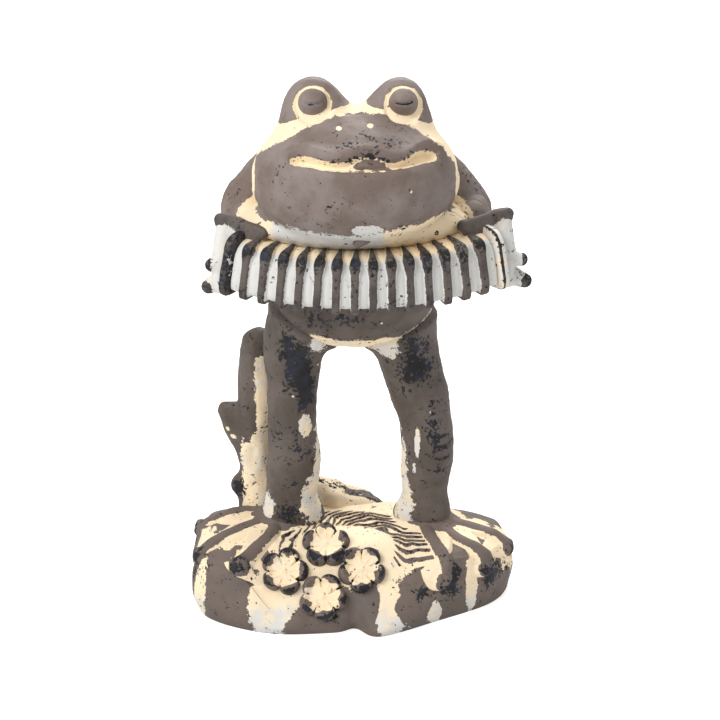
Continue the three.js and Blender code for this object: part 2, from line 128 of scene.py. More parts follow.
def limbField(p, route):
    # least distance to the straight steps of a route (x, y, z, radius), less the radius there
    best = np.full(p.shape[:-1], 1e9)
    for a, b in zip(route[:-1], route[1:]):
        step = b[:3] - a[:3]
        t = np.clip(((p - a[:3]) @ step) / (step @ step), 0, 1)
        gap = p - a[:3] - t[..., None] * step
        best = np.minimum(best, np.sqrt((gap**2).sum(-1)) - a[3] - (b[3] - a[3]) * t)
    return best


def melt(a, b, size):
    # union of two fields with a fillet of about that size where they meet
    h = np.maximum(size - np.abs(a - b), 0) / size
    return np.minimum(a, b) - h * h * size / 4


# ---- grids of rays, and the surface that they meet

def ring(columns, crowd=0.0):
    # equal angles once round, as one row; crowd draws them to the front by their cosine
    s = (2 * np.pi * np.arange(columns) / columns)[None, :]
    return s - crowd * np.cos(s)


def ballRays(centre, columns, rows, crowd=0.0):
    # a globe of directions with its poles up and down
    around = ring(columns, crowd)
    down = np.linspace(0, np.pi, rows)[:, None]
    level = np.ones_like(around)
    way = np.stack([np.sin(down) * np.cos(around), np.sin(down) * np.sin(around),
                    np.cos(down) * level], -1)
    return np.broadcast_to(centre, way.shape), way


def squareBall(columns, rows, power):
    # a globe of places whose power norm is one: the higher the power, the squarer it is
    _, way = ballRays(vec(0, 0, 0), columns, rows)
    return way * ((np.abs(way) ** power).sum(-1) ** (-1 / power))[..., None]


capRows = 12  # rows that close each end of a limb


def limbReach(route, spare):
    # how far out each row of a limb's rays starts: its radius, and some spare between the caps
    caps = [np.full(capRows, route[k, 3]) for k in (0, -1)]
    return np.concatenate([caps[0], route[:, 3] + spare, caps[1]])[:, None]


def limbRays(route, columns, side=(1, 0, 0)):
    # rays that leave a route squarely all round it, and fan out over both ends like a ball
    path = route[:, :3]
    along = np.gradient(path, axis=0)
    along /= np.linalg.norm(along, axis=1)[:, None]
    wide = vec(*side) - (along @ vec(*side))[:, None] * along
    wide /= np.linalg.norm(wide, axis=1)[:, None]
    deep = np.cross(along, wide)
    a = ring(columns)[0]
    across = np.cos(a)[None, :, None] * wide[:, None] + np.sin(a)[None, :, None] * deep[:, None]
    tilt = (np.pi / 2 * np.arange(capRows) / capRows)[:, None, None]
    start = np.sin(tilt) * across[:1] - np.cos(tilt) * along[0]
    end = (np.sin(tilt) * across[-1:] + np.cos(tilt) * along[-1])[::-1]
    origins = np.vstack([np.repeat(path[:1], capRows, 0), path,
                         np.repeat(path[-1:], capRows, 0)])
    way = np.concatenate([start, across, end])
    return np.broadcast_to(origins[:, None], way.shape), way


def cast(field, rays, reach, steps=26, halvings=11):
    # follows each ray inwards from its reach to the first place inside the field,
    # then halves that last step again and again
    origins, way = rays
    reach = np.broadcast_to(reach, way.shape[:-1])
    hit = np.zeros(reach.shape)
    miss = np.zeros(reach.shape)
    found = np.zeros(reach.shape, bool)
    for k in range(steps, -1, -1):
        inside = (field(origins + way * (reach * k / steps)[..., None]) < 0) & ~found
        hit = np.where(inside, reach * k / steps, hit)
        miss = np.where(inside, reach * min(1, (k + 1) / steps), miss)
        found |= inside
    for _ in range(halvings):
        half = (hit + miss) / 2
        inside = field(origins + way * half[..., None]) < 0
        hit = np.where(inside, half, hit)
        miss = np.where(inside, miss, half)
    return origins + way * hit[..., None]


def facing(points):
    # outward normals of a closed grid: the cross product of its two directions
    u = np.roll(points, -1, 1) - np.roll(points, 1, 1)
    n = np.cross(np.gradient(points, axis=0), u)
    n[0], n[-1] = n[1].mean(0), n[-2].mean(0)
    n /= np.linalg.norm(n, axis=-1)[..., None] + 1e-9
    outward = ((points - points.mean((0, 1))) * n).sum()
    return n if outward > 0 else -n


def relief(points, height):
    # moves each point along its outward normal by the height there
    return points + facing(points) * height[..., None]


def topRelief(points, height, rows):
    # relief on the seen rows only, while the rows under them stay plain
    seen = (np.arange(len(points)) < rows)[:, None]
    return relief(points, height * seen)


dents = ((0.5, 16, 3), (0.28, 6, 5), (0.12, 2.2, 7))  # depth, width in mm, seed


def stoneSkin(p, amount=1.0):
    # the uneven skin of a hand-finished casting: broad dents with finer ones on them
    return amount * sum(depth * lumps(p, width, seed) for depth, width, seed in dents)


def makePiece(node, points, material, cream, dark=0.0, pale=0.3, slot="taupe_stone"):
    # closes a grid at its two poles and gives it the three paint values as attributes
    rows, columns = points.shape[:2]
    closed = np.concatenate([points[0, :1], points[1:-1].reshape(-1, 3), points[-1, :1]])
    first = 1 + np.arange((rows - 3) * columns).reshape(rows - 3, columns)
    right = np.roll(first, -1, 1)
    quads = np.stack([first, first + columns, right + columns, right], -1).reshape(-1, 4)
    top = 1 + np.arange(columns)
    foot = len(closed) - 1 - columns + np.arange(columns)
    cap = np.stack([np.zeros_like(top), top, np.roll(top, -1)], -1)
    base = np.stack([np.full(columns, len(closed) - 1), np.roll(foot, -1), foot], -1)
    a, b, c = (closed[quads[:, k]] for k in range(3))
    if (np.cross(b - a, c - a) * a).sum() < 0:
        quads, cap, base = quads[:, ::-1], cap[:, ::-1], base[:, ::-1]
    mesh = bpy.data.meshes.new(node)
    mesh.from_pydata((closed * mm).tolist(), [], quads.tolist() + cap.tolist() + base.tolist())
    mesh.polygons.foreach_set("use_smooth", np.ones(len(mesh.polygons), bool))
    cream = np.clip(0.5 + stoneLook["crisp"] * (cream - 0.5), *stoneLook["creamRange"])
    for name, value in (("cream", cream), ("dark", dark), ("pale", pale)):
        grid = np.broadcast_to(value, (rows, columns))
        flat = np.concatenate([grid[0, :1], grid[1:-1].ravel(), grid[-1, :1]])
        layer = mesh.attributes.new(name, "FLOAT", "POINT")
        layer.data.foreach_set("value", flat.astype(np.float32))
    mesh.materials.append(material)
    mesh.update()
    piece = bpy.data.objects.new(node + "_cast", mesh)
    bpy.context.scene.collection.objects.link(piece)
    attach(piece, "root")
    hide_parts(node)
    print("made", node, 2 * rows * columns, "triangles")
    return piece


# ---- materials

paints = {  # display colours from 0 to 255
    "taupe": (141, 130, 126), "taupeDeep": (118, 104, 96),
    # the leg browns are darker than taupe, partly as a darker paint and partly as painted shade of
    # the lower, upright parts
    "legTaupe": (106, 96, 90), "legTaupeDeep": (86, 77, 70), "foldTaupe": (70, 65, 64),
    "creamWarm": (249, 229, 196), "creamCool": (218, 218, 215),
    "ink": (31, 30, 31), "inkBlue": (40, 44, 56), "steel": (96, 92, 88), "rust": (110, 62, 34),
}
stoneLook = {
    "crisp": 2.2,  # how suddenly brown turns to cream
    "creamRange": (-1.5, 2.5),  # how sure either of them can be
    "ragged": 1.3,  # how torn the edge between brown and cream is
    "flecks": 0.0,  # more of the dark undercoat everywhere
    "pins": 0.05,  # share of air-bubble holes that show cream
    "grain": 0.25,  # height of the sandy grain, mm
    "gloss": (0.62, 0.2),  # roughness of the brown, and how much rougher the cream is
    "specular": 0.32,
}


def linear(name):
    # a display colour's linear light, by the sRGB curve
    parts = [c / 255 for c in paints[name]]
    return [(c / 12.92 if c <= 0.04045 else ((c + 0.055) / 1.055) ** 2.4) for c in parts] + [1]


def newNode(tree, kind, **settings):
    node = tree.nodes.new(kind)
    for name, value in settings.items():
        setattr(node, name, value)
    return node


def feed(tree, socket, value):
    if isinstance(value, bpy.types.NodeSocket):
        tree.links.new(value, socket)
    else:
        socket.default_value = value


def calc(tree, operation, a, b=0.0, c=0.0):
    node = newNode(tree, "ShaderNodeMath", operation=operation)
    for socket, value in zip(node.inputs, (a, b, c)):
        feed(tree, socket, value)
    return node.outputs[0]


def step(tree, value, low, high):
    # a smooth rise from 0 at low to 1 at high, or a fall if low is the greater
    node = newNode(tree, "ShaderNodeMapRange", interpolation_type="SMOOTHSTEP")
    for name, number in (("Value", value), ("From Min", low), ("From Max", high)):
        feed(tree, node.inputs[name], number)
    return node.outputs["Result"]


def blend(tree, mask, a, b):
    node = newNode(tree, "ShaderNodeMix", data_type="RGBA")
    feed(tree, node.inputs["Factor"], mask)
    feed(tree, node.inputs[6], a)
    feed(tree, node.inputs[7], b)
    return node.outputs[2]


def noise(tree, size, detail=3.0, roughness=0.55):
    # noise whose features are about that many millimetres across
    where = newNode(tree, "ShaderNodeTexCoord").outputs["Object"]
    node = newNode(tree, "ShaderNodeTexNoise")
    feed(tree, node.inputs["Vector"], where)
    feed(tree, node.inputs["Scale"], 1 / (size * mm))
    feed(tree, node.inputs["Detail"], detail)
    feed(tree, node.inputs["Roughness"], roughness)
    return node.outputs["Fac"]


def newGroup(name, inputs, outputs):
    # an empty node group with named sockets, given as name and kind
    tree = bpy.data.node_groups.new(name, "ShaderNodeTree")
    for way, sockets in (("INPUT", inputs), ("OUTPUT", outputs)):
        for socket, kind in sockets.items():
            tree.interface.new_socket(socket, in_out=way, socket_type="NodeSocket" + kind)
    given = newNode(tree, "NodeGroupInput").outputs
    return tree, given, newNode(tree, "NodeGroupOutput").inputs


def buildGrain():
    # sandy grain and small pits of cast stone, as a height
    tree, given, out = newGroup("sandGrain", {"Amount": "Float"}, {"Height": "Float"})
    fine = calc(tree, "SUBTRACT", noise(tree, 0.9, 4), 0.5)
    broad = calc(tree, "SUBTRACT", noise(tree, 5, 2), 0.5)
    pits = step(tree, noise(tree, 1.8, 2), 0.36, 0.30)
    rough = calc(tree, "MULTIPLY_ADD", broad, 1.2, fine)
    rough = calc(tree, "MULTIPLY_ADD", pits, -0.7, rough)
    feed(tree, out["Height"], calc(tree, "MULTIPLY", rough, given["Amount"]))
    return tree


def buildTornEdge():
    # a soft field becomes a crisp mask with a torn, dry-brushed edge, and a thin line along it
    tree, given, out = newGroup("tornEdge", {"Field": "Float", "Ragged": "Float"},
                                {"Mask": "Float", "Line": "Float"})
    wander = calc(tree, "SUBTRACT", noise(tree, 7, 2), 0.5)
    bite = calc(tree, "SUBTRACT", noise(tree, 2.2, 3), 0.5)
    bristle = calc(tree, "SUBTRACT", noise(tree, 0.8, 2), 0.5)
    torn = calc(tree, "MULTIPLY_ADD", bite, 0.8, wander)
    torn = calc(tree, "MULTIPLY_ADD", bristle, 0.35, torn)
    field = calc(tree, "MULTIPLY_ADD", torn, given["Ragged"], given["Field"])
    feed(tree, out["Mask"], step(tree, field, 0.47, 0.53))
    off = calc(tree, "ABSOLUTE", calc(tree, "SUBTRACT", field, 0.47))
    feed(tree, out["Line"], step(tree, off, 0.05, 0.0))
    return tree


def buildFlecks():
    # torn flecks of undercoat: few where Amount is 0, a broken patch where it is 1; the same dark
    # marks draw painted shadow where a piece's dark value asks for it
    tree, given, out = newGroup("undercoatFlecksAndShadow", {"Amount": "Float"}, {"Mask": "Float"})
    chip = calc(tree, "MULTIPLY_ADD", noise(tree, 9, 1), 0.45, noise(tree, 2.6, 4, 0.65))
    limit = calc(tree, "MULTIPLY_ADD", given["Amount"], -0.30, 0.92)
    feed(tree, out["Mask"], step(tree, calc(tree, "SUBTRACT", chip, limit), 0.0, 0.03))
    return tree


def buildPinholes():
    # scattered round air-bubble holes, as a mask
    tree, given, out = newGroup("airHoles", {"Share": "Float"}, {"Mask": "Float"})
    where = newNode(tree, "ShaderNodeTexCoord").outputs["Object"]
    cells = newNode(tree, "ShaderNodeTexVoronoi")
    feed(tree, cells.inputs["Vector"], where)
    feed(tree, cells.inputs["Scale"], 1 / (9 * mm))
    parts = newNode(tree, "ShaderNodeSeparateColor")
    feed(tree, parts.inputs["Color"], cells.outputs["Color"])
    chosen = calc(tree, "LESS_THAN", parts.outputs["Red"], given["Share"])
    hole = step(tree, cells.outputs["Distance"], 0.12, 0.09)
    feed(tree, out["Mask"], calc(tree, "MULTIPLY", hole, chosen))
    return tree


groups = {"grain": buildGrain(), "edge": buildTornEdge(), "flecks": buildFlecks(),
          "pins": buildPinholes()}


def useGroup(tree, name, **values):
    node = newNode(tree, "ShaderNodeGroup", node_tree=groups[name])
    for socket, value in values.items():
        feed(tree, node.inputs[socket], value)
    return node.outputs


def newMaterial(name):
    material = bpy.data.materials.new(name)
    material.use_nodes = True
    tree = material.node_tree
    return material, tree, tree.nodes["Principled BSDF"]


def useBump(tree, shader, height, strength):
    bump = newNode(tree, "ShaderNodeBump")
    for name, value in (("Distance", mm), ("Strength", strength), ("Height", height)):
        feed(tree, bump.inputs[name], value)
    feed(tree, shader.inputs["Normal"], bump.outputs["Normal"])


def paintedStone(name, brown, brownDeep, **changes):
    # brown on the raised skin, cream wash in the recesses, dark undercoat in flecks, which also draw
    # painted shadow where the dark value asks for it
    look = {**stoneLook, **changes}
    material, tree, shader = newMaterial(name)
    field = {}
    for layer in ("cream", "dark", "pale"):
        field[layer] = newNode(tree, "ShaderNodeAttribute", attribute_name=layer).outputs["Fac"]
    edge = useGroup(tree, "edge", Field=field["cream"], Ragged=look["ragged"])
    amount = calc(tree, "ADD", field["dark"], look["flecks"])
    flecks = useGroup(tree, "flecks", Amount=amount)["Mask"]
    pins = useGroup(tree, "pins", Share=look["pins"])["Mask"]
    cloud = step(tree, noise(tree, 26, 3), 0.35, 0.65)
    mottle = noise(tree, 3.2, 4, 0.6)
    skin = blend(tree, cloud, linear(brown), linear(brownDeep))
    shade = calc(tree, "MULTIPLY_ADD", mottle, 0.34, 0.83)
    skin = blend(tree, calc(tree, "SUBTRACT", 1.15, shade), skin, linear(brownDeep))
    tone = calc(tree, "MULTIPLY_ADD", calc(tree, "SUBTRACT", noise(tree, 12, 3), 0.5), 1.4,
                field["pale"])
    wash = blend(tree, step(tree, tone, 0.2, 0.8), linear("creamWarm"), linear("creamCool"))
    stain = step(tree, noise(tree, 4, 5, 0.7), 0.62, 0.72)
    wash = blend(tree, calc(tree, "MULTIPLY", stain, 0.28), wash, linear(brown))
    mask = calc(tree, "MAXIMUM", edge["Mask"], pins)
    colour = blend(tree, mask, skin, wash)
    tint = blend(tree, step(tree, noise(tree, 8, 2), 0.45, 0.6), linear("ink"), linear("inkBlue"))
    line = calc(tree, "MULTIPLY", edge["Line"], step(tree, noise(tree, 3, 2), 0.46, 0.6))
    dark = calc(tree, "MAXIMUM", flecks, calc(tree, "MULTIPLY", line, 0.75))
    colour = blend(tree, dark, colour, tint)
    feed(tree, shader.inputs["Base Color"], colour)
    smooth, rougher = look["gloss"]
    feed(tree, shader.inputs["Roughness"], calc(tree, "MULTIPLY_ADD", mask, rougher, smooth))
    shader.inputs["Specular IOR Level"].default_value = look["specular"]
    height = useGroup(tree, "grain", Amount=look["grain"])["Height"]
    for layer, depth in ((edge["Mask"], -0.10), (pins, -0.5), (flecks, -0.08)):  # mm
        height = calc(tree, "MULTIPLY_ADD", layer, depth, height)
    useBump(tree, shader, height, 0.9)
    return material


def rustySteel():
    # grouted-in mild steel bar with patches of rust
    material, tree, shader = newMaterial("rustySteel")
    rust = step(tree, noise(tree, 6, 5, 0.65), 0.42, 0.58)
    feed(tree, shader.inputs["Base Color"], blend(tree, rust, linear("steel"), linear("rust")))
    feed(tree, shader.inputs["Metallic"], calc(tree, "SUBTRACT", 1.0, rust))
    feed(tree, shader.inputs["Roughness"], calc(tree, "MULTIPLY_ADD", rust, 0.4, 0.45))
    useBump(tree, shader, useGroup(tree, "grain", Amount=0.3)["Height"], 1.0)
    return material


faceStone = paintedStone("faceStone", "taupe", "taupeDeep", flecks=0.05)
# belly, legs and stump: a darker brown, partly darker paint and partly painted shade of these lower,
# upright parts
legStoneDarkAndShade = paintedStone("legStoneDarkAndShade", "legTaupe", "legTaupeDeep", ragged=1.9, flecks=0.18, pins=0.09)
rockStone = paintedStone("rockStone", "taupeDeep", "legTaupe", ragged=1.15, flecks=0.1, pins=0.03)
foldStone = paintedStone("foldStone", "legTaupe", "foldTaupe", ragged=0.7, flecks=0.12, pins=0.0)
steel = rustySteel()
for rod in [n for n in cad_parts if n.endswith(("_bar", "_pin", "_dowel"))]:
    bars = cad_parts[rod].data
    bars.materials.clear()
    bars.materials.append(steel)
print("materials ready")


# ---- the body's fields, which each piece uses for its own shape and for its neighbours

body = {
    "belly": (63, 47, 67), "bellyPower": 2.3,  # half sizes of the torso
    "skull": (69.5, 59, 42), "skullPower": 2.2, "brow": 0.05,  # and of the head
    "browFrom": (-0.1, 1), "browScale": 0.9,  # the share of its height where it narrows
    "hood": {"right": (20.3, 17.6, 22), "left": (18.6, 17.6, 22)},
    "hoodAcross": {"right": -28, "left": 30}, "hoodRise": 43, "hoodBack": 6, "fillet": 20,
    "collar": (78, 44, 17), "collarPlace": (0, 12, -35), "collarFillet": 8,
}
torsoLow, torsoHigh = nodeBox("torso")
headLow, headHigh = nodeBox("head")
bellyCentre = vec(0, middleOf("torso")[1], torsoLow[2] + body["belly"][2])
skullCentre = vec(0, middleOf("head")[1], headLow[2] + body["skull"][2])


def torsoField(p):
    # one squarish egg for the belly and back
    return eggField(p, bellyCentre, vec(*body["belly"]), body["bellyPower"])


def onTorso(limb, fillet):
    # the field of a limb that is melted into the belly
    return lambda p: melt(limbField(p, routes[limb]), torsoField(p), fillet)


def hoodCentre(side):
    return skullCentre + (body["hoodAcross"][side], body["hoodBack"], body["hoodRise"])


def hoodField(p, side):
    # the upright egg of one eye hood
    return eggField(p, hoodCentre(side), vec(*body["hood"][side]))


def headField(p):
    # an egg that narrows over the brow, with an eye hood melted on at each side and a
    # low collar under the throat
    q = p.copy()
    up = body["browScale"] * (p[..., 2] - skullCentre[2]) / body["skull"][2]
    q[..., 0] = p[..., 0] / (1 - body["brow"] * ramp(*body["browFrom"], up))
    whole = eggField(q, skullCentre, vec(*body["skull"]), body["skullPower"])
    for side in signOf:
        whole = melt(whole, hoodField(p, side), body["fillet"])
    collar = eggField(p, skullCentre + body["collarPlace"], vec(*body["collar"]))
    return melt(whole, collar, body["collarFillet"])


legs = {  # stations up each leg: steps from its ankle and the radius there, mm
    "right": {
        "ankle": (12.5, 24.8, 1),  # from the low corner of the leg's box
        "stations": [(3, 0, -3, 16), (7, -3, 24, 18.6), (9, -6, 49, 19.4), (8, -6, 80, 17.5),
                     (9, -4, 109, 19), (10, -1, 137, 22.4), (20, 3, 166, 22.8)],
    },
    "left": {
        "ankle": (40.5, 26.8, 0.4),
        "stations": [(-1, 0, -3, 15), (-2, -4, 29, 17.9), (-0.5, -8, 51, 19), (-3, -7, 80, 19.4),
                     (-9, -4, 103, 21.3), (-16, -1, 132, 22.8), (-22, 3, 163, 23.6)],
    },
}
arms = {  # stations down each arm: steps from the middle of the skull, mirrored for the right
    "stations": [(33, 32, 28, 9), (42, 33, 15, 12), (50.5, 35, 1, 14), (65, 37, -16, 15.5),
                 (78, 38, -36, 17)],
    "wristSize": 12, "wristOut": 11, "wristBack": 2, "wristDown": 4,  # on the end board
    "fillet": 14, "skin": 1.2, "shade": 0.15, "pale": 0.1,
    "elbow": ((66, -12, 306), (6, 10, 14), 0.8),  # a worn patch of cream
}


def legRoute(side, count=26):
    # a smooth curve through the leg's stations, from the low corner of its box
    start = nodeBox(side + "_leg")[0] + legs[side]["ankle"]
    return smoothPath(np.array(legs[side]["stations"]) + (*start, 0), count)


# The accordion lies on an arc. A place on it: share of half its width, depth behind the
# front edge, and height from the middle of the folds.
foldsLow, foldsHigh = nodeBox("bellows")
fan = {"half": 90, "radius": 180.75, "depth": 41, "height": 41, "lift": 7, "roll": 2,
       "splay": 0.16, "ribs": 14, "middleUp": 20.6}
fanMiddle = vec((foldsLow[0] + foldsHigh[0]) / 2, foldsLow[1], foldsLow[2] + fan["middleUp"])


def onFan(share, behind, z):
    # the arc's middle plus radius times sine and cosine; the ends rise and lean outwards
    swing = np.arcsin(np.clip(share * fan["half"] / fan["radius"], -1, 1))
    reach = fan["radius"] - behind
    x = fanMiddle[0] + np.sin(swing) * reach - fan["splay"] * z * share
    y = fanMiddle[1] + fan["radius"] - np.cos(swing) * reach
    return np.stack(np.broadcast_arrays(
        x, y, fanMiddle[2] + z + fan["lift"] * share**2 + fan["roll"] * share), -1)


def past(far):
    # the share of the fan's half width that is so many millimetres past its end
    return 1 + far / fan["half"]


def armRoute(side, count=22):
    # a smooth curve through the arm's stations to a wrist behind the end board
    s = signOf[side]
    stations = [skullCentre + (s * x, y, z) for x, y, z, _ in arms["stations"]]
    wrist = onFan(s * past(arms["wristOut"]), fan["depth"] + arms["wristBack"],
                  fan["height"] / 2 - arms["wristDown"])
    sizes = [radius for *_, radius in arms["stations"]] + [arms["wristSize"]]
    return smoothPath(np.column_stack([stations + [wrist], sizes]), count)


routes = {side + "_leg": legRoute(side) for side in signOf}
routes.update({side + "_arm": armRoute(side) for side in signOf})


# ---- head

mouth = {
    "middle": 5.5, "half": 47.5, "depth": 5.5, "lip": 4.6, "lowerLip": 1.2,
    "low": 291.8, "lowBend": 8.2, "lowTilt": 1.6,  # edge of the lower lip
    "high": 299.6, "wave": 1.7, "waveLong": 38, "waveAt": 7,  # edge of the upper lip
    "corners": ((1, 24, 46, 6.0), (-1, 24, 40, 2.0)),  # side, from, to, how far they turn up
    "endSlope": 0.9,
    "tongue": (9, 296.8), "tongueSize": (14, 3.2), "tongueBend": 0.012, "tongueHigh": 4.5,
}
face = {
    "archTop": 334, "archFall": 0.0088, "archMiddle": 4,  # the brown face's upper edge
    "archShoulder": 34, "archFlare": (0.0135, 0.003),  # which flares out at the right and left
    "chinLine": 252.5, "chinRise": 0.0040, "chinMiddle": -4, "socket": 12.8, "rim": 17.5,
    "ringDrop": 2.8,  # how far the socket's ring sits below the middle of the eyeball
    "hoodLine": 341, "hoodFall": 0.31,  # lower edge of the brown on the hoods
    "cheeks": ((-45, 304), (55, 308)),
    "cheekSize": (5, 7), "cheekHigh": 2.0,  # a swelling at each end of the mouth
    "nostrils": ((-10.6, 322), (9.9, 324)), "nostrilSize": (1.9, 1.9), "nostrilDeep": 1.2,
    "muzzle": (313, 9, 42, 2.0),  # height, its reach up and across, and how far it stands out
    "socketDeep": 2.6, "rimHigh": 1.3, "archHigh": 1.1,  # depth or height of each, mm
    "frontEdge": (-60, -45),  # the front of the face fades out between these two depths
    "pendant": ((8, 255), (12, 4), 1.1),  # a drip of cream under the chin
    "dark": [((8, -78, 367), (30, 14, 7), 0.5), ((-50, -70, 342), (6, 12, 8), 0.6),
             ((-12, -96, 330), (12, 10, 5), 0.45), ((-20, -95, 312), (7, 10, 4), 0.45),
             ((14, -95, 318), (10, 10, 4), 0.4), ((-36, -85, 318), (7, 12, 6), 0.4),
             ((5, -96, 357), (26, 10, 2.5), 0.6), ((28, -85, 308), (16, 14, 8), 0.35)],
}
lean = np.radians(22)  # paint lines on the face are drawn square to this tilt


def drawn(p):
    # across, and up along the leaning drawing plane
    return p[..., 0], p[..., 2] * np.cos(lean) + p[..., 1] * np.sin(lean)


def mouthGap(p):
    # distance inside the open smile: the upper lip dips twice, the lower lip is one curve
    x, up = drawn(p)
    t = (x - mouth["middle"]) / mouth["half"]
    low = mouth["low"] + mouth["lowBend"] * t**2 + mouth["lowTilt"] * t
    turn = 2 * np.pi * (x - mouth["waveAt"]) / mouth["waveLong"]
    high = mouth["high"] + mouth["wave"] * np.cos(turn)
    for sign, begin, end, rise in mouth["corners"]:
        high = high + rise * ramp(begin, end, sign * x)
    ends = (1 - np.abs(t)) * mouth["half"] * mouth["endSlope"]
    return np.minimum(np.minimum(high - up, up - low), ends), up - high, up - low


def offRing(p, ball):
    # distance from the middle of an eye socket, as drawn on the leaning plane
    x, up = drawn(p)
    ballX, ballUp = drawn(ball)
    return np.hypot(x - ballX, up - ballUp + face["ringDrop"])


def dot(p, place, size):
    # a bell-shaped dot on the drawing plane
    x, up = drawn(p)
    return hill(x - place[0], size[0]) * hill(up - place[1], size[1])


def tongueMask(p):
    # a dot whose ends bend down
    x, up = drawn(p)
    across = x - mouth["tongue"][0]
    wide, high = mouth["tongueSize"]
    drop = mouth["tongueBend"] * across**2
    return hill(across, wide) * hill(up - mouth["tongue"][1] + drop, high)


def faceArch(x):
    # the upper edge of the brown face, as one parabola
    return face["archTop"] - face["archFall"] * (x - face["archMiddle"]) ** 2


def headRelief(p):
    # the groove of the mouth between its lips, then the muzzle, cheeks, nostrils and sockets
    x, up = drawn(p)
    front = near(p[..., 1], *face["frontEdge"])
    inside, overLip, overChin = mouthGap(p)
    within = near(np.abs(x - mouth["middle"]), mouth["half"] - 4, mouth["half"] + 8)
    shape = -mouth["depth"] * ramp(-0.3, 1.6, inside)
    shape += mouth["lip"] * hill(overLip - 3.5, 4.0) * within
    shape += mouth["lowerLip"] * hill(overChin + 4.0, 4.5) * within
    shape += mouth["tongueHigh"] * tongueMask(p) * ramp(0, 1, inside)
    muzzleUp, reachUp, reachOut, muzzleHigh = face["muzzle"]
    shape += muzzleHigh * dot(p, (mouth["middle"], muzzleUp), (reachOut, reachUp))
    for cheek in face["cheeks"]:
        shape += face["cheekHigh"] * dot(p, cheek, face["cheekSize"])
    for nostril in face["nostrils"]:
        shape -= face["nostrilDeep"] * dot(p, nostril, face["nostrilSize"])
    shape = shape * front
    for side in signOf:
        ball = middleOf(side + "_eyeball")
        forward = near(p[..., 1], ball[1] + 4, ball[1] + 12)
        off = offRing(p, ball)
        socket = near(off, face["socket"] - 1, face["socket"] + 1.5)
        above = ramp(-6, 4, p[..., 2] - ball[2])
        shape += (face["rimHigh"] * hill(off - face["rim"], 2.4) * above
                  - face["socketDeep"] * socket) * forward
    shape += face["archHigh"] * near(up - faceArch(x), -3, 0) * near(p[..., 1], -52, -30)
    return shape + stoneSkin(p)


def headPaint(p):
    # brown between an arch over the face and the line of the chin, and on the hoods; cream
    # round the eyes, in the mouth and nostrils, and where the head meets the arms; dark flecks
    # in patches, and a painted shadow along the upper edge of the mouth
    x, up = drawn(p)
    inside, overLip, _ = mouthGap(p)
    chin = face["chinLine"] + face["chinRise"] * (x - face["chinMiddle"]) ** 2
    front = near(p[..., 1], -20, 0)
    faceFront = near(p[..., 1], *face["frontEdge"])
    hoods = np.minimum(*[hoodField(p, side) for side in signOf])
    beyond = np.maximum(np.abs(x - face["archMiddle"]) - face["archShoulder"], 0)
    arch = faceArch(x) + np.where(x < 0, *face["archFlare"]) * beyond**2
    cream = 0.5 + np.clip(up - arch, -6, 5) / 12
    above = up - face["hoodLine"] + face["hoodFall"] * np.abs(x - 2)
    cream = cream - 1.2 * near(hoods, 3, 5.5) * ramp(-1.5, 2.5, above)
    cream = np.maximum(cream, 0.5 + np.clip(chin - up, -6, 6) / 12)
    for side in signOf:
        ball = middleOf(side + "_eyeball")
        socket = 0.5 + (face["socket"] + 0.4 - offRing(p, ball)) / 4
        cream = np.where(p[..., 1] < ball[1] + 8, np.maximum(cream, socket), cream)
    groove = 0.5 + np.clip(inside + 0.4, -4, 4) / 3.2
    cream = np.maximum(cream, groove * faceFront)
    cream = np.where(inside > 0.4, cream * (1 - 1.25 * tongueMask(p)), cream)
    cream = np.maximum(cream, 1.2 * ramp(0.94, 0.99, np.abs(x) / body["skull"][0]) * front)
    for nostril in face["nostrils"]:
        cream = np.maximum(cream, 1.4 * dot(p, nostril, face["nostrilSize"]) * faceFront)
    for side in signOf:
        arm = limbField(p, routes[side + "_arm"])
        cream = np.maximum(cream, 0.95 * near(arm, 1, 9))
    cream = cream * front + (0.25 + 0.3 * lumps(p, 22, 2)) * (1 - front)
    drip, dripSize, amount = face["pendant"]
    cream = np.maximum(cream, amount * dot(p, drip, dripSize) * front)
    within = near(np.abs(x - mouth["middle"]), mouth["half"] - 6, mouth["half"])
    # painted shadow of the overhanging upper lip: a dark band along the upper edge of the mouth
    lipShadow = hill(overLip - 0.6, 1.1) * within
    dark = spots(p, face["dark"]) + 0.75 * lipShadow * faceFront
    pale = 0.05 + 0.9 * near(up - chin, 0, 12) * near(x, 10, 30) * ramp(-62, -50, x)
    return cream, dark, pale


def makeHead():
    # rays from inside the skull meet its field; the relief and the paint follow from there
    rays = ballRays(skullCentre + (0, 6, 4), 540, 176, crowd=0.3)
    points = cast(headField, rays, 92)
    points = relief(points, headRelief(points))
    makePiece("head", points, faceStone, *headPaint(points))


eye = {"slit": {"right": 0.45, "left": 1.1}, "slitHigh": 0.9, "slitRise": 0.6, "slitBend": 0.02,
       "lid": 0.35, "lidRise": 2.2, "lidHigh": 1.6, "inset": 0.3}


def makeEyeball(side):
    # a ball with a shallow slit between its lids, and a low swelling over the slit
    low, high = nodeBox(side + "_eyeball")
    centre, radius = (low + high) / 2, (high - low)[0] / 2
    origins, way = ballRays(centre, 90, 60)
    within = near(np.abs(way[..., 0]), 0.35, 0.75) * near(way[..., 1], -0.5, 0.0)
    deep = eye["slit"][side]
    level = way[..., 2] * radius - eye["slitRise"] - eye["slitBend"] * (way[..., 0] * radius) ** 2
    slit = deep * hill(level, eye["slitHigh"]) * within
    lid = eye["lid"] * hill(level - eye["lidRise"], eye["lidHigh"]) * within
    points = origins + way * (radius - eye["inset"] - slit + lid)[..., None]
    points = relief(points, stoneSkin(points, 0.4))
    cream = 0.7 * ramp(-0.42, -0.2, way[..., 1])
    dark = 1.2 * deep * hill(level, 0.7) * within
    makePiece(side + "_eyeball", points, faceStone, cream, dark, 0.2)


makeHead()
for side in signOf:
    makeEyeball(side)


# ---- torso, legs and arms

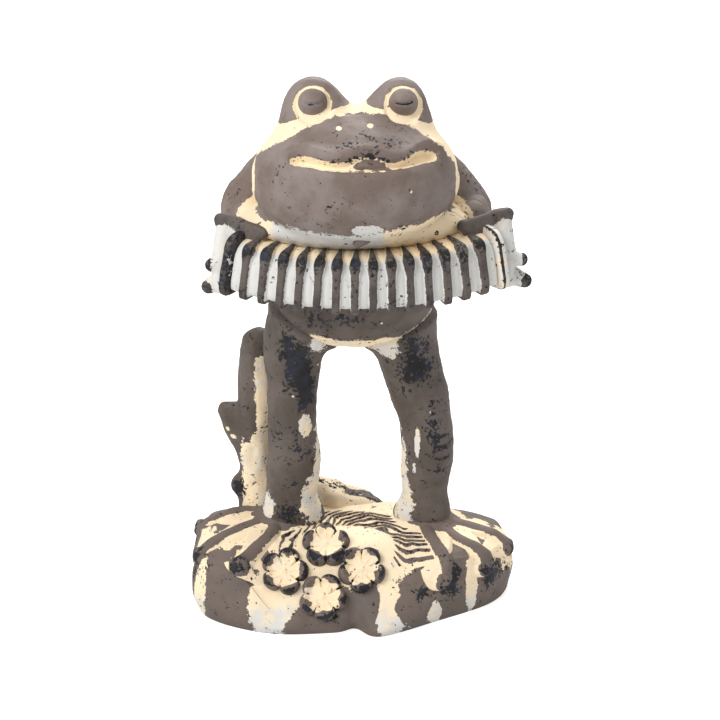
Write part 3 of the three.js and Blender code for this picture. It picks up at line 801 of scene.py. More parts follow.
torsoPaint = {
    "dark": [((-30, -40, 222), (14, 12, 10), 0.45), ((-12, -44, 231), (20, 10, 5), 0.5)],
    "cream": [((0, -20, 201), (36, 24, 9), 2.2), ((-27, -26, 207), (8, 14, 8), 1.0),
              ((26, -24, 203), (12, 14, 8), 1.1)],
}


def makeTorso():
    # the plain egg of the belly, with cream where the head and the arms meet it
    rays = ballRays(bellyCentre, 260, 150, crowd=0.3)
    points = cast(torsoField, rays, 90, steps=16)
    points = relief(points, stoneSkin(points, 1.2))
    gap = headField(points)
    cream = near(gap, 2, 14) + spots(points, torsoPaint["cream"])
    for side in signOf:
        cream = np.maximum(cream, 0.8 * near(limbField(points, routes[side + "_arm"]), 0, 8))
    makePiece("torso", points, legStoneDarkAndShade, cream, spots(points, torsoPaint["dark"]), 0.25)


legPaint = {
    "right": {
        "dark": [((-47, -25, 200), (9, 12, 13), 0.9), ((-38, -22, 184), (10, 14, 16), 1.2),
                 ((-35, -20, 164), (7, 12, 13), 1.1), ((-48, -18, 68), (9, 14, 8), 0.9),
                 ((-38, -18, 121), (6, 12, 8), 0.7), ((-60, -24, 136), (7, 12, 16), 0.45)],
        "cream": [((-37, -16, 139), (5, 9, 12), 1.1), ((-27, -5, 110), (5, 16, 36), 0.8),
                  ((-32, -12, 76), (9, 16, 20), 1.1), ((-27, -18, 206), (7, 10, 11), 1.0),
                  ((-68, -14, 70), (9, 16, 14), 1.1)],
    },
    "left": {
        "dark": [((44, -25, 205), (10, 12, 9), 0.9), ((44, -25, 184), (14, 14, 14), 0.95),
                 ((56, -28, 146), (8, 12, 12), 0.5), ((62, -26, 121), (8, 12, 14), 0.5)],
        "cream": [((45, -25, 127), (2.4, 8, 13), 1.0), ((43, -25, 106), (1.8, 8, 6), 0.9),
                  ((36, -8, 108), (4, 14, 40), 0.85), ((32, -14, 72), (12, 18, 18), 1.2),
                  ((24, -18, 203), (11, 12, 12), 1.1)],
    },
}
kneeFolds = {"places": [(63, 132, 9), (64, 124, 10), (64, 114, 11), (62, 104, 10)],
             "depth": 0.9, "width": 1.3, "sag": 0.035}


def kneeCrinkle(p):
    # short sagging lines across the front of the knee
    total = np.zeros(p.shape[:-1])
    for x, z, wide in kneeFolds["places"]:
        off = p[..., 0] - x
        line = p[..., 2] - z - kneeFolds["sag"] * off**2
        total += hill(line, kneeFolds["width"]) * hill(off, wide)
    return total * near(p[..., 1], -12, -4)


legForm = {
    "fillet": 20, "skin": 1.5, "hipFlare": 8, "hipFrom": (0.70, 0.84), "hipTo": (0.84, 1),
    "ankleFlare": 3.5, "innerFlare": 10, "innerFrom": (30, 48), "flareHigh": 26, "flareBend": 1.6,
}


def makeLeg(side):
    # a round limb, flared into the belly above and on to the foot below
    name = side + "_leg"
    route = legRoute(side, 120)
    along = np.linspace(0, 1, len(route))
    hip = ramp(*legForm["hipFrom"], along) * near(along, *legForm["hipTo"])
    reach = limbReach(route, legForm["hipFlare"] * hip + near(along, 0.94, 1))
    points = cast(onTorso(name, legForm["fillet"]), limbRays(route, 150), reach, steps=14)
    ankleHeight = routes[name][0, 2]
    spread = near(points[..., 2], ankleHeight, ankleHeight + legForm["flareHigh"])
    inward = near(points[..., 0] * signOf[side], *legForm["innerFrom"])
    flare = (legForm["ankleFlare"] + legForm["innerFlare"] * inward) * spread**legForm["flareBend"]
    points = relief(points, flare + stoneSkin(points, legForm["skin"]))
    crinkle = kneeCrinkle(points) if side == "left" else np.zeros(points.shape[:-1])
    points = relief(points, -kneeFolds["depth"] * crinkle)
    crease = 0.8 * near(torsoField(points), -1, 3) * ramp(-20, 20, points[..., 0])
    cream = spots(points, legPaint[side]["cream"]) + crease
    dark = spots(points, legPaint[side]["dark"]) + 0.7 * crinkle
    makePiece(name, points, legStoneDarkAndShade, cream, dark, 0.55)


def makeArm(side):
    # a short arm that swells from behind the brow into the shoulder
    name = side + "_arm"
    route = armRoute(side, 90)
    rays = limbRays(route, 130, side=(0, 1, 0))
    points = cast(onTorso(name, arms["fillet"]), rays, limbReach(route, 3), steps=14)
    points = relief(points, stoneSkin(points, arms["skin"]))
    (x, y, z), size, amount = arms["elbow"]
    cream = near(headField(points), 1, 7) + 0.5 * near(torsoField(points), 0, 5)
    cream = cream + spots(points, [((signOf[side] * x, y, z), size, amount)])
    makePiece(name, points, faceStone, cream, arms["shade"], arms["pale"])


makeTorso()
for side in signOf:
    makeLeg(side)
    makeArm(side)


# ---- accordion: folds, end boards and hands

folds = {"stepsPerFold": 28, "columns": 150, "firstRib": 0.9, "ribHalf": 2.4, "ribHeight": 2.4,
         "bulb": 2.4, "bulbAt": 0.72, "bulbWide": 0.26,  # a swelling on each rib's front top edge
         "sag": 0.8, "hollow": 0.8, "corner": 6, "topCorner": 3.2, "paleFrom": (19, 13)}


def makeBellows():
    # a rounded square section carried along the arc, with a narrow raised rib at every fold
    count = (fan["ribs"] - 1) * folds["stepsPerFold"] + 1
    share = np.linspace(-1, 1, count)[:, None]
    pitch = 2 * folds["firstRib"] * fan["half"] / (fan["ribs"] - 1)
    place = (share + folds["firstRib"]) / (2 * folds["firstRib"]) * (fan["ribs"] - 1)
    off = np.abs(place - np.clip(np.round(place), 0, fan["ribs"] - 1)) * pitch
    a = ring(folds["columns"])
    power = folds["corner"] + (folds["topCorner"] - folds["corner"]) * ramp(0, 0.4, np.sin(a))
    full = (np.abs(np.cos(a)) ** power + np.abs(np.sin(a)) ** power) ** (-1 / power)
    frontTop = hill(a - folds["bulbAt"], folds["bulbWide"])
    below = ramp(0.3, 0.9, -np.sin(a))
    back = ramp(0.0, 0.9, -np.cos(a) * full)
    topBack = ramp(0.7, 0.95, np.sin(a) * full) * ramp(0.9, -0.8, np.cos(a) * full)
    half = folds["ribHalf"] * (1 + 0.5 * frontTop) * (1 - 0.45 * topBack)
    rib = 1 - ramp(0.75, 1.35, off / half)
    height = folds["ribHeight"] * rib * (1 - 0.7 * topBack) + folds["bulb"] * frontTop * rib
    hollow = folds["hollow"] * np.cos(np.pi * off / pitch) ** 2 * (1 - rib)
    grow = height - folds["ribHeight"] - hollow + folds["sag"] * below * (rib - 0.4)
    deep = np.cos(a) * full * (fan["depth"] / 2 + grow)
    high = np.sin(a) * full * (fan["height"] / 2 + grow)
    points = onFan(share, fan["depth"] / 2 - deep, high)
    ends = onFan(np.array([[-1.0], [1.0]]), fan["depth"] / 2, 0.0)
    points = np.concatenate([np.repeat(ends[:1], folds["columns"], 1), points,
                             np.repeat(ends[1:], folds["columns"], 1)])
    skin = stoneSkin(points, 0.5)
    skin[0] = skin[-1] = 0
    points = relief(points, skin)
    cream = 0.5 + (off - half * 1.1) / 4 + 0.5 * topBack * ramp(0.5, 1, topBack)
    cream = np.vstack([cream[:1], cream, cream[-1:]]) - 0.4 * back
    high = np.vstack([high[:1], high, high[-1:]])
    front = np.maximum(np.cos(a) * full, 0)
    pale = 0.1 + 1.1 * front * ramp(*folds["paleFrom"], high)
    dark = (0.2 + 0.6 * frontTop) * near(cream, 0.2, 0.5)
    makePiece("bellows", points, foldStone, cream, dark, pale, slot="cream_stone")


def fanFrame(share):
    # middle, forward, up and outward directions at a place on the arc
    middle = onFan(share, fan["depth"] / 2, 0.0)
    forward = onFan(share, 0.0, 0.0) - middle
    forward /= np.linalg.norm(forward)
    up = onFan(share, fan["depth"] / 2, 1.0) - middle
    up /= np.linalg.norm(up)
    return middle, forward, up, np.cross(forward, up)


board = {"thickness": 7, "margin": 2, "corner": 5.0, "gap": 0.3,
         "cream": [((-84, -58, 282), (3, 9, 5), 0.9), ((-84, -58, 272), (3, 9, 3), 0.8)],
         "seams": ((1.6, 0.8), (-3.2, 0.7))}  # lines round the left board: place, width


def makeBoard(side):
    # a plate with well rounded corners: a squarish egg in the board's own directions
    share = signOf[side] * past(board["gap"] + board["thickness"] / 2)
    middle, forward, up, through = fanFrame(share)
    size = vec(board["thickness"] / 2, fan["depth"] / 2 + board["margin"],
               fan["height"] / 2 + board["margin"])
    q = squareBall(120, 90, board["corner"]) * size
    points = middle + q[..., :1] * through + q[..., 1:2] * forward + q[..., 2:] * up
    points = relief(points, stoneSkin(points, 0.8))
    if side == "right":
        paint = 0.1 + spots(points, board["cream"]), 0.62, 0.8
    else:
        seam = sum(hill(q[..., 0] - at, wide) for at, wide in board["seams"])
        paint = 0.9 - 0.9 * seam, 0.8 * seam, 0.6
    makePiece(side + "_end_board", points, foldStone, *paint)


hand = {"palm": 5.0, "finger": 4.4, "reach": {"right": 17.5, "left": 21}}


def handRoutes(side):
    # stations from the middle of the end board's face: out, back, up and radius
    s = signOf[side]
    face = onFan(s * past(board["thickness"]), fan["depth"] / 2, 0.0)
    top = fan["height"] / 2
    size, palm, reach = hand["finger"], hand["palm"], hand["reach"][side]

    def route(*stations):
        return smoothPath([[*(face + (s * out, back, up)), radius]
                           for out, back, up, radius in stations], 8)

    return {
        "palm": route((8, 6, top - 3, palm * 1.5), (9, -3, 0, palm * 1.8),
                      (10, -6, 4 - top, palm * 1.5)),
        "thumb": route((12, 8, top + 4, size), (2, 0, top + 6, size * 0.8),
                       (-8, -6, top + 4, size * 0.7), (-19, -10, top + 1, size)),
        "upper": route((4, -4, -2, size), (reach / 2, -5, -2, size), (reach, -7, -3, size * 1.1)),
        "lower": route((4, -4, 3 - top, size), (reach / 2 + 2, -5, 3 - top, size),
                       (reach + 3, -7, 2 - top, size * 1.15)),
    }


def makeHand(side):
    # palm, thumb and two fingertips melted together, seen from the middle of the palm
    made = handRoutes(side)

    def field(p):
        total = limbField(p, made["palm"])
        for part in ("thumb", "upper", "lower"):
            total = melt(total, limbField(p, made[part]), 3)
        return total

    centre = made["palm"][4, :3] - (signOf[side] * 2, 0, 0)
    points = cast(field, ballRays(centre, 200, 130), 46, steps=46)
    points = relief(points, stoneSkin(points, 0.7))
    thumb = limbField(points, made["thumb"])
    tips = np.minimum(limbField(points, made["upper"]), limbField(points, made["lower"]))
    out = signOf[side] * (points[..., 0] - centre[0])
    tipOut = ramp(hand["reach"][side] - 10, hand["reach"][side] - 4, out)
    cream = 0.95 - 0.9 * near(thumb, 0, 2.5) - 0.75 * near(tips, 0, 1.5) * tipOut
    dark = 0.6 * tipOut * near(np.minimum(tips, thumb), 0, 2)
    makePiece(side + "_hand", points, foldStone, cream, dark, 0.8)


makeBellows()
for side in signOf:
    makeBoard(side)
    makeHand(side)


knot = {"tail": (-4, 4, 4, 3.6), "neck": (8, 3, 10, 2.8), "head": (2, 3, 8, 3.8)}


def makeKnot():
    # a small tied comma of clay under the chin, by steps from the corners of its box
    low, high = nodeBox("throat_knot")
    tail = vec(high[0], low[1], high[2], 0) + knot["tail"]
    neck = vec(0, low[1], low[2], 0) + knot["neck"]
    route = smoothPath([tail, neck, vec(*low, 0) + knot["head"]], 40)
    points = cast(lambda p: limbField(p, route), limbRays(route, 60, side=(0, 1, 0)), 5, steps=10)
    points = relief(points, stoneSkin(points, 0.4))
    makePiece("throat_knot", points, faceStone, 0.1, 0.2, 0.3)


makeKnot()


# ---- rock, ledge, feet and flowers

rockLow, rockHigh = nodeBox("rock_plinth")
rock = {
    "half": -rockLow[0], "front": 78.0, "back": rockHigh[1] - 0.5, "height": rockHigh[2],
    "lip": 0.06, "rimDrop": 2.5, "crown": 8, "frontFall": 36, "backFall": 10, "leftFall": 6,
    "bulge": 0.8 * np.pi,  # how far round a sine the wall swings out
    "rough": ((2.8, 20, 11, 0.45), (1.1, 9, 12, 1)),  # lumps: height, width, seed, flattening
    "skin": 0.6, "flute": 2.2,  # small dents everywhere, and a rib down the wall under each toe
    "outline": [(0.99, 0.02), (0.88, 0.5), (0.52, 0.9), (0, 1), (-0.56, 0.94), (-0.93, 0.5),
                (-1, -0.1), (-0.94, -0.66), (-0.56, -0.98), (-0.14, -0.98), (0, -0.9),
                (0.15, -1.05), (0.5, -0.77), (0.87, -0.4)],
}


def rockEdge():
    # the outline in plan as a fine closed loop, sorted by its angle round the middle
    shares = np.array(rock["outline"] * 3, float)
    scale = np.stack([np.full(len(shares), rock["half"]),
                      np.where(shares[:, 1] < 0, rock["front"], rock["back"])], -1)
    loop = smoothPath(shares * scale, 2400)[800:1600]
    angle = np.arctan2(loop[:, 1], loop[:, 0])
    order = np.argsort(angle)
    return angle[order], np.hypot(loop[:, 0], loop[:, 1])[order]


edgeAngle, edgeReach = rockEdge()


def edgeAt(angle):
    # the outline's reach from the middle in a direction in plan
    return np.interp(angle, edgeAngle, edgeReach, period=2 * np.pi)


def rockTop(x, y):
    # a low dome that falls away to the back and the left, with a sunken front
    across = x / rock["half"]
    along = y / np.where(y < 0, rock["front"], rock["back"])
    dome = rock["height"] - rock["crown"] * (across**2 + along**2) ** 1.5
    middle = 1 - ramp(0.38, 0.68, np.abs(across + 0.06))
    return (dome - rock["backFall"] * ramp(0.3, 1, along) - rock["leftFall"] * ramp(0.2, 1, across)
            - rock["frontFall"] * ramp(0.45, 1.1, -along) * middle)


toes = {  # steps in plan from the ankle to each toe's knuckle and tip
    "right": [((-24, 12), (-56, 2)), ((-30, -18), (-53, -35)), ((-9, -32), (-26, -56))],
    "left": [((0, -26), (12, -56)), ((22, -28), (42, -37)), ((34, -8), (54, -13))],
}
foot = {"web": 3.0, "webReach": 0.9, "webAngle": 0.46, "toeWide": 7.2, "toeHigh": 6.0, "heel": 18,
        "past": 1.07, "ankleSpread": 31, "ankleRise": 15, "margin": 8, "marginAngle": 0.75,
        "sunk": 6, "underRows": (1.0, 0.96, 0.6, 0.3, 0.0)}


def ankleOf(side):
    # the middle of the ankle in plan
    return routes[side + "_leg"][0, :2] - np.array(legs[side]["stations"][0][:2])


def toeRoute(side, toe, count=24):
    # from the ankle through the knuckle to just past the tip
    steps = np.array([(0, 0), *toe, toe[1]], float)
    steps[-1] *= foot["past"]
    return smoothPath(ankleOf(side) + steps, count)


def offToe(angle, toe):
    # how far a direction in plan is from a toe's, from -pi to pi, and the toe's length
    x, y = toe[1]
    off = angle - np.arctan2(y, x)
    return np.arctan2(np.sin(off), np.cos(off)), np.hypot(x, y)


def planGap(x, y, line):
    # distance in plan to a line of points, and how far along the line the nearest step is
    best = np.full(x.shape, 1e9)
    place = np.zeros(x.shape)
    for k, (a, b) in enumerate(zip(line[:-1], line[1:])):
        d = b - a
        t = np.clip(((x - a[0]) * d[0] + (y - a[1]) * d[1]) / (d @ d), 0, 1)
        gap = np.hypot(x - a[0] - t * d[0], y - a[1] - t * d[1])
        place = np.where(gap < best, (k + t) / (len(line) - 1), place)
        best = np.minimum(best, gap)
    return best, place


hatch = {"depth": 1.32, "pitch": 5.0, "middle": (-8, -42), "inner": 24, "outer": 55,
         "squash": 0.72, "turn": (70, -75), "bends": ((4.0, 13, 4), (1.3, 5, 9))}


def hatchMask(x, y):
    # a crescent of grass-like strokes that arches behind the flowers
    cx, cy = hatch["middle"]
    r = np.hypot((x - cx) * hatch["squash"], y - cy)
    band = ramp(hatch["inner"], hatch["inner"] + 5, r) * near(r, hatch["outer"] - 8, hatch["outer"])
    return band * ramp(-58, -46, y) * ramp(-60, -50, x) * near(x, 52, 62)


def hatchWave(x, y):
    # strokes fan out on the left and comb over towards the front left corner on the right
    start, swing = np.radians(hatch["turn"])
    turn = start + swing * ramp(-45, 40, x)
    cross = -np.sin(turn) * x + np.cos(turn) * y
    flat = np.stack([x, y, np.zeros_like(x)], -1)
    bend = sum(size * lumps(flat, width, seed) for size, width, seed in hatch["bends"])
    return np.sin(2 * np.pi * (cross + bend) / hatch["pitch"])


def rockSkin(angle, inner, drop):
    # a place on the rock: a share of the way out to its edge, then a share of the wall down,
    # where the wall swings out like part of a sine
    edge = edgeAt(angle)
    rim = rockTop(np.cos(angle) * edge * inner, np.sin(angle) * edge * inner)
    rim = rim - rock["rimDrop"] * ramp(0.9, 1.0, inner / (1 - rock["lip"])) ** 2
    out = edge * (inner + rock["lip"] * np.sin(drop * rock["bulge"]))
    return np.stack([np.cos(angle) * out, np.sin(angle) * out, rim * (1 - drop)], -1)


def onSkin(x, y):
    # a place on the rock and the direction out of it: on the top inside the rim, and
    # wrapped down the wall past the rim
    angle = np.arctan2(y, x)
    edge = edgeAt(angle)
    share = np.hypot(x, y) / edge
    rimShare = 1 - rock["lip"]
    inner = np.minimum(share, rimShare)
    height = rockSkin(angle, inner, 0.0)[..., 2]
    drop = np.clip((share - inner) * edge / height, 0, 1)
    tilt = np.pi / 2 * ramp(rimShare - 0.1, rimShare + 0.05, share)
    out = np.stack([np.cos(angle) * np.sin(tilt), np.sin(angle) * np.sin(tilt), np.cos(tilt)], -1)
    return rockSkin(angle, inner, drop), out


rockGrid = {"columns": 440, "top": 130, "side": 70, "base": 20, "crowd": 0.32}


def makeRock():
    # the skin runs from the middle of the top over the rim, bulges and comes back underneath
    angle = ring(rockGrid["columns"], rockGrid["crowd"])
    rimShare = 1 - rock["lip"]
    down = np.linspace(0, 1, rockGrid["top"])[:, None]
    top = rockSkin(angle, down * rimShare, 0.0)
    x, y = top[..., 0], top[..., 1]
    strokes = hatch["depth"] * hatchMask(x, y) * hatchWave(x, y)
    drop = np.linspace(0, 1, rockGrid["side"] + 1)[1:, None]
    wall = rockSkin(angle, np.full_like(drop, rimShare), drop)
    top[..., 2] += strokes
    wall[..., 2] += strokes[-1:] * (1 - drop)
    under = np.linspace(1, 0, rockGrid["base"] + 1)[1:, None, None]
    points = np.concatenate([top, wall, wall[-1:] * under])
    rough = sum(size * lumps(points * vec(1, 1, tall), width, seed)
                for size, width, seed, tall in rock["rough"])
    aboveFloor = ramp(0, 8, points[..., 2]) * near(points[..., 2], 60, 70)
    flutes = np.zeros(points.shape[:-1])
    for side in signOf:
        for toe in toes[side]:
            tip = toeRoute(side, toe)[-1] * 1.02
            off = np.hypot(points[..., 0] - tip[0], points[..., 1] - tip[1])
            flutes = np.maximum(flutes, near(off, 5, 11))
    flutes = flutes * near(points[..., 2], 46, 52) * ramp(2, 30, points[..., 2])
    slope = ramp(0.9, 1.0, np.vstack([down, np.ones((len(points) - len(down), 1))]))
    skin = (0.8 * rough * slope + stoneSkin(points, rock["skin"])) * aboveFloor
    points = relief(points, skin + rock["flute"] * flutes * slope)
    points[..., 2] = np.maximum(points[..., 2], 0)
    makePiece("rock_plinth", points, rockStone, *rockPaint(points, flutes))


rockTones = {
    "brown": [((-91, -50, 20), (14, 24, 26), 1.5), ((98, -30, 24), (12, 20, 24), 1.4),
              ((70, -54, 24), (8, 18, 22), 1.5), ((40, -70, 18), (18, 18, 6), 1.2),
              ((-4, -78, 12), (14, 14, 12), 1.3), ((-30, -74, 10), (18, 14, 8), 0.9),
              ((12, -72, 24), (6, 12, 8), 1.0), ((50, -62, 30), (9, 12, 8), 1.2)],
    "cream": [((-112, -30, 24), (7, 26, 28), 1.2), ((-60, -64, 20), (17, 18, 16), 1.5),
              ((86, -40, 24), (5, 14, 18), 1.6), ((114, -12, 34), (9, 16, 18), 1.5),
              ((24, -74, 18), (9, 12, 14), 1.4), ((60, -60, 12), (6, 12, 10), 1.2)],
    # the first two dark patches, on the flutes at the right of the wall, are painted shadow
    "dark": [((102, -30, 30), (7, 14, 14), 1.0), ((70, -52, 34), (8, 14, 12), 1.1),
             ((48, -64, 26), (10, 12, 6), 0.7), ((-104, -40, 40), (12, 12, 6), 0.6)],
}


def rockPaint(p, flutes):
    # cream on the top, brown down the wall and on the flutes, a stroke per hatch wave, and painted
    # shadow in dark on the flutes
    x, y = p[..., 0], p[..., 1]
    mask = hatchMask(x, y) * ramp(20, 30, p[..., 2])
    strokes = -hatchWave(x, y)
    top = near(np.hypot(x / 96, y / 70), 0.75, 1.0) * ramp(12, 24, p[..., 2])
    cream = 0.35 + 0.55 * top - 0.8 * flutes
    cream = cream * (1 - mask) + mask * (0.5 + 0.42 * strokes)
    cream = cream - spots(p, rockTones["brown"]) + spots(p, rockTones["cream"])
    back = ramp(10, 30, y)
    cream = cream - 0.5 * back * near(p[..., 2], 44, 52)
    # dark strokes in the hatch grooves, and painted shadow on the flutes
    dark = 0.55 * mask * ramp(0.0, 0.5, -strokes) + 0.5 * flutes
    dark = dark + spots(p, rockTones["dark"])
    return cream, dark, 0.15 + 0.5 * near(p[..., 2], 8, 26)


ledge = {"middle": (-14, -0.4, 52), "half": (41, 18, 14), "power": 2.4, "tilt": 0.27, "lumps": 2.8}


def makeLedge():
    # a squarish egg, sheared so that it slopes down to the left
    x, back, z = ledge["middle"]
    points = squareBall(160, 100, ledge["power"]) * ledge["half"]
    points[..., 2] -= points[..., 0] * ledge["tilt"]
    points = points + (x, middleOf("rock_ledge")[1] + back, z)
    _, way = ballRays(vec(0, 0, 0), 160, 100)
    points = relief(points, ledge["lumps"] * lumps(points, 11, 21) + stoneSkin(points, 1.6))
    crest = ramp(0.35, 0.7, way[..., 2]) * near(np.abs(way[..., 1] + 0.1), 0.15, 0.5)
    cream = 0.9 - 0.75 * crest * ramp(-0.2, 0.3, lumps(points, 9, 22) + 0.2)
    makePiece("rock_ledge", points, rockStone, cream, 0.6 * crest, 0.1, slot="cream_stone")


def footLift(x, y, side):
    # height above the rock: webs between the toes, and a rounded ridge along each toe
    ankle = ankleOf(side)
    dx, dy = x - ankle[0], y - ankle[1]
    angle = np.arctan2(dy, dx)
    reach = np.full(x.shape, float(foot["heel"]))
    ridge = np.zeros(x.shape)
    for toe in toes[side]:
        off, length = offToe(angle, toe)
        reach = np.maximum(reach, foot["webReach"] * length * hill(off, foot["webAngle"]))
        gap, place = planGap(x, y, toeRoute(side, toe))
        wide = foot["toeWide"] * (0.8 + 0.35 * ramp(0.6, 0.95, place))
        high = foot["toeHigh"] * (0.85 + 0.4 * ramp(0.65, 0.95, place))
        ridge = np.maximum(ridge, high * np.clip(1 - (gap / wide) ** 2.2, 0, 1) ** 0.6)
    out = np.hypot(dx, dy)
    web = foot["web"] * near(out, reach - 3, reach + 1) - 2.5 * ramp(reach - 1, reach + 3, out)
    heel = foot["ankleRise"] * np.clip(1 - (out / foot["ankleSpread"]) ** 2, 0, 1) ** 2
    return -melt(-web, -np.maximum(ridge, heel), 1.5), ridge


def makeFoot(side):
    # plan circles round the ankle, laid over the rock and draped over its rim
    ankle = ankleOf(side)
    columns, rows = 330, 120
    angle = ring(columns)
    reach = np.full(angle.shape, foot["ankleSpread"] + 2.0)
    for toe in toes[side]:
        off, length = offToe(angle, toe)
        toeReach = (foot["past"] * length + foot["margin"]) * hill(off, foot["marginAngle"])
        reach = np.maximum(reach, toeReach)
    out = np.linspace(0, 1, rows)[:, None]
    share = np.vstack([out, np.array(foot["underRows"])[:, None]])
    x = ankle[0] + np.cos(angle) * reach * share
    y = ankle[1] + np.sin(angle) * reach * share
    lift, ridge = footLift(x[:rows], y[:rows], side)
    sunk = np.full((len(foot["underRows"]), columns), -float(foot["sunk"]))
    place, way = onSkin(x, y)
    points = place + way * np.vstack([lift, sunk])[..., None]
    points = topRelief(points, stoneSkin(points, 0.9), rows)
    cream = 0.5 + (2.6 - ridge) / 5 + 0.12 * lumps(points[:rows], 14, 31)
    dark = 0.9 * ramp(0.75, 1.0, out) * ramp(3, 5.5, ridge)
    inFront = ramp(-0.1, 0.6, -np.sin(angle) + 0.5 * signOf[side] * np.cos(angle))
    cream = cream - 1.1 * near(reach * out + 4 * lumps(points[:rows], 6, 32), 20, 27) * inFront
    cream, dark = np.vstack([cream, 0 * sunk + 0.9]), np.vstack([dark, 0 * sunk])
    makePiece(side + "_foot", points, rockStone, cream, dark, 0.12)


flower = {"radius": 18.2, "petals": 5, "high": 7.0, "turn": {1: 0, 2: 18, 3: 55, 4: 60},
          "notch": 0.26, "floor": 1.2, "heart": 1.4, "fold": 2.4, "edgeDrop": 4.5, "vein": 0.5,
          "under": (0.97, 0.6, 0.0), "sunk": -5.0, "step": 4}


def slopeAt(x, y, step):
    # the direction straight up out of the rock's top, and two more square to it
    across = rockTop(x + step, y) - rockTop(x - step, y)
    along = rockTop(x, y + step) - rockTop(x, y - step)
    up = vec(-across, -along, 2 * step)
    up /= np.linalg.norm(up)
    wide = np.cross((0, 1, 0), up)
    wide /= np.linalg.norm(wide)
    return up, wide, np.cross(up, wide)


def makeFlower(number):
    # rounded petals with raised rims round a sunken star, square to the slope under them
    centre = flowerCentre(number)
    up, wide, deep = slopeAt(centre[0], centre[1], flower["step"])
    columns, rows = 220, 60
    angle = ring(columns)
    swing = flower["petals"] / 2 * (angle - np.radians(flower["turn"][number]))
    petal = np.abs(np.cos(swing))
    edge = flower["radius"] * (1 - flower["notch"] * (1 - petal**0.55))
    out = np.linspace(0, 1, rows)[:, None]
    rim = hill(out - 0.80, 0.17) * (0.35 + 0.65 * petal)
    fold = hill(petal, 0.16) * ramp(0.25, 0.6, out)
    z = flower["floor"] + (flower["high"] - flower["floor"]) * rim
    z = z + flower["heart"] * hill(out, 0.13) - flower["fold"] * fold
    z = z - flower["edgeDrop"] * ramp(0.9, 1.0, out) ** 2
    z = z + flower["vein"] * hill(np.sin(swing * 2), 0.25) * hill(out - 0.45, 0.2)
    out = np.vstack([out, np.array(flower["under"])[:, None]])
    z = np.vstack([z, np.full((len(flower["under"]), columns), flower["sunk"])])
    spread = edge * out
    points = (centre + (np.cos(angle) * spread)[..., None] * wide
              + (np.sin(angle) * spread)[..., None] * deep + z[..., None] * up)
    points = topRelief(points, stoneSkin(points, 0.6), rows)
    star = 0.70 - 0.15 * np.cos(2 * swing) + 0.10 * lumps(points, 6, number)
    cream = 0.5 + (star - out) * 2.4
    crescent = hill(out - 0.86, 0.13) * petal
    dark = 1.3 * crescent * ramp(-0.6, 0.1, lumps(points, 8, 40 + number))
    dark = dark + 0.9 * hill(petal, 0.2) * ramp(0.6, 0.8, out)
    makePiece(f"flower_{number}", points, rockStone, cream, dark, 0.2, slot="cream_stone")


def flowerCentre(number):
    # the box is square in plan round the flower, so its middle gives the place on the rock
    middle = middleOf(f"flower_{number}")
    x, y = middle[0], middle[1]
    return vec(x, y, rockTop(x, y) + 0.8)


stump = {  # steps from the low corner of the stump's box, with the radius at each, mm
    "trunk": [(26.5, 22, -7, 17), (25, 22, 36, 13), (25, 22, 78, 14), (26, 20, 121, 13.2),
              (27, 18, 137, 12)],
    "branch": [(22, 22, 45, 8), (11, 22, 64, 8.5), (2, 22, 82, 6.5)],
    "knob": [(20, 22, 22, 6), (12, 22, 21, 7)],
}
stumpPaint = {
    "cream": [((-79, 10, 96), (8, 16, 18), 1.2), ((-76, 10, 72), (11, 16, 12), 1.3)],
    "dots": [((-95.5, 15, 119), (2, 9, 2), 1.6), ((-91.5, 15, 113), (2.4, 9, 2.4), 1.6)],
    "dark": [((-88, 14, 70), (8, 14, 8), 0.9), ((-84, 6, 158), (6, 10, 12), 0.35)],
}


def makeStump():
    # a broken trunk with a stub of branch and a knot, melted together
    corner = (*nodeBox("tree_stump")[0], 0)
    made = {name: smoothPath(np.array(stump[name]) + corner, 16) for name in stump}

    def field(p):
        total = melt(limbField(p, made["trunk"]), limbField(p, made["branch"]), 9)
        return melt(total, limbField(p, made["knob"]), 8)

    rays = limbRays(smoothPath(np.array(stump["trunk"]) + corner, 130), 150)
    points = cast(field, rays, 34, steps=30)
    bark = 0.9 * lumps(points * vec(1, 1, 0.35), 7, 50)
    points = relief(points, bark + stoneSkin(points, 1.2))
    leg = limbField(points, routes["right_leg"])
    wider = 9 * ramp(120, 60, points[..., 2]) + 4 * lumps(points, 18, 51)
    cream = 1.15 * near(leg - wider, 8, 18) * near(points[..., 2], 172, 188)
    cream = np.maximum(cream, 0.9 * near(points[..., 2], 62, 78) * ramp(-86, -78, points[..., 0]))
    cream = cream + spots(points, stumpPaint["cream"])
    cream = np.maximum(cream, spots(points, stumpPaint["dots"]))
    makePiece("tree_stump", points, legStoneDarkAndShade, cream, spots(points, stumpPaint["dark"]), 0.3)


makeRock()
makeLedge()
for side in signOf:
    makeFoot(side)
for number in range(1, 5):
    makeFlower(number)
makeStump()


# ---- floor, light and camera

def makeStage():
    bpy.ops.mesh.primitive_plane_add(size=studio["floorSize"])
    floor = bpy.context.object
    floor.name = "floor"
    material, tree, shader = newMaterial("paleFloor")
    shader.inputs["Base Color"].default_value = (*studio["floorColour"], 1)
    shader.inputs["Roughness"].default_value = 0.9
    shader.inputs["Emission Color"].default_value = (1, 1, 1, 1)
    seen = newNode(tree, "ShaderNodeLightPath").outputs["Is Camera Ray"]
    feed(tree, shader.inputs["Emission Strength"], calc(tree, "MULTIPLY", seen, studio["floorGlow"]))
    floor.data.materials.append(material)


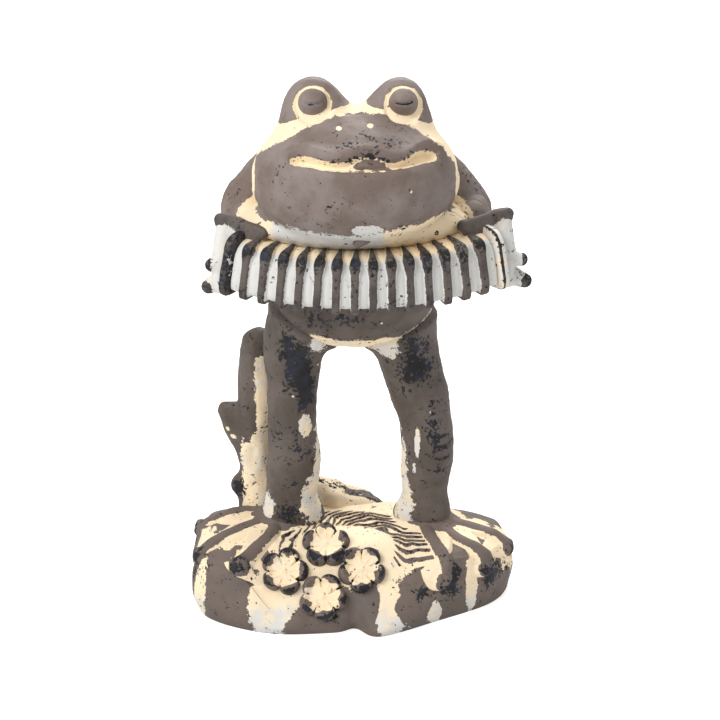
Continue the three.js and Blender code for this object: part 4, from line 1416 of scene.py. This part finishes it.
studio = {
    "sky": (1.0, 1.0, 1.0), "skyStrength": 0.42,  # as a light; the camera sees plain white
    "floorGlow": 0.5,  # lifts the floor to white, for the camera only
    "floorSize": 8, "floorColour": (0.86, 0.86, 0.86),
    "lights": [  # place, aim height, width in metres, power in watts, colour
        ((-1.2, -1.1, 1.6), 0.25, 1.0, 33, (1.0, 0.98, 0.96)),
        ((0.9, -0.4, 1.9), 0.0, 1.4, 9, (1.0, 0.97, 0.93)),
        ((0.3, 1.3, 1.4), 0.0, 1.2, 26, (1.0, 1.0, 1.0)),
    ],
}


def aimed(thing, place, target):
    # turned by the pitch and heading of the way to its target
    thing.location = place
    way = np.array(target, float) - np.array(place, float)
    thing.rotation_euler = (np.arctan2(np.hypot(way[0], way[1]), -way[2]), 0,
                            np.arctan2(-way[0], way[1]))


def makeLight():
    scene = bpy.context.scene
    scene.view_settings.view_transform = "Standard"
    world = bpy.data.worlds.new("studio")
    world.use_nodes = True
    tree = world.node_tree
    sky = tree.nodes["Background"].inputs
    sky["Color"].default_value = (*studio["sky"], 1)
    seen = newNode(tree, "ShaderNodeLightPath").outputs["Is Camera Ray"]
    strength = calc(tree, "MULTIPLY_ADD", seen, 1 - studio["skyStrength"], studio["skyStrength"])
    feed(tree, sky["Strength"], strength)
    scene.world = world
    for number, (place, aim, width, power, colour) in enumerate(studio["lights"]):
        lamp = bpy.data.lights.new(f"softbox{number}", "AREA")
        lamp.size, lamp.energy, lamp.color = width, power, colour
        holder = bpy.data.objects.new(lamp.name, lamp)
        scene.collection.objects.link(holder)
        aimed(holder, place, (0, 0, aim))


def makeCamera():
    # from in front and 22 degrees above, so that the top of the folds and the rock show
    shot = {"distance": 1.35, "elevation": 22, "aim": 0.195, "lens": 93.5,
            "shiftX": 0.0069, "shiftY": -0.0213}
    lens = bpy.data.cameras.new("camera")
    lens.lens, lens.shift_x, lens.shift_y = shot["lens"], shot["shiftX"], shot["shiftY"]
    camera = bpy.data.objects.new("camera", lens)
    bpy.context.scene.collection.objects.link(camera)
    rise = np.radians(shot["elevation"])
    place = (0, -shot["distance"] * np.cos(rise), shot["aim"] + shot["distance"] * np.sin(rise))
    aimed(camera, place, (0, 0, shot["aim"]))
    bpy.context.scene.camera = camera


makeStage()
makeLight()
makeCamera()
print("stage, light and camera ready")
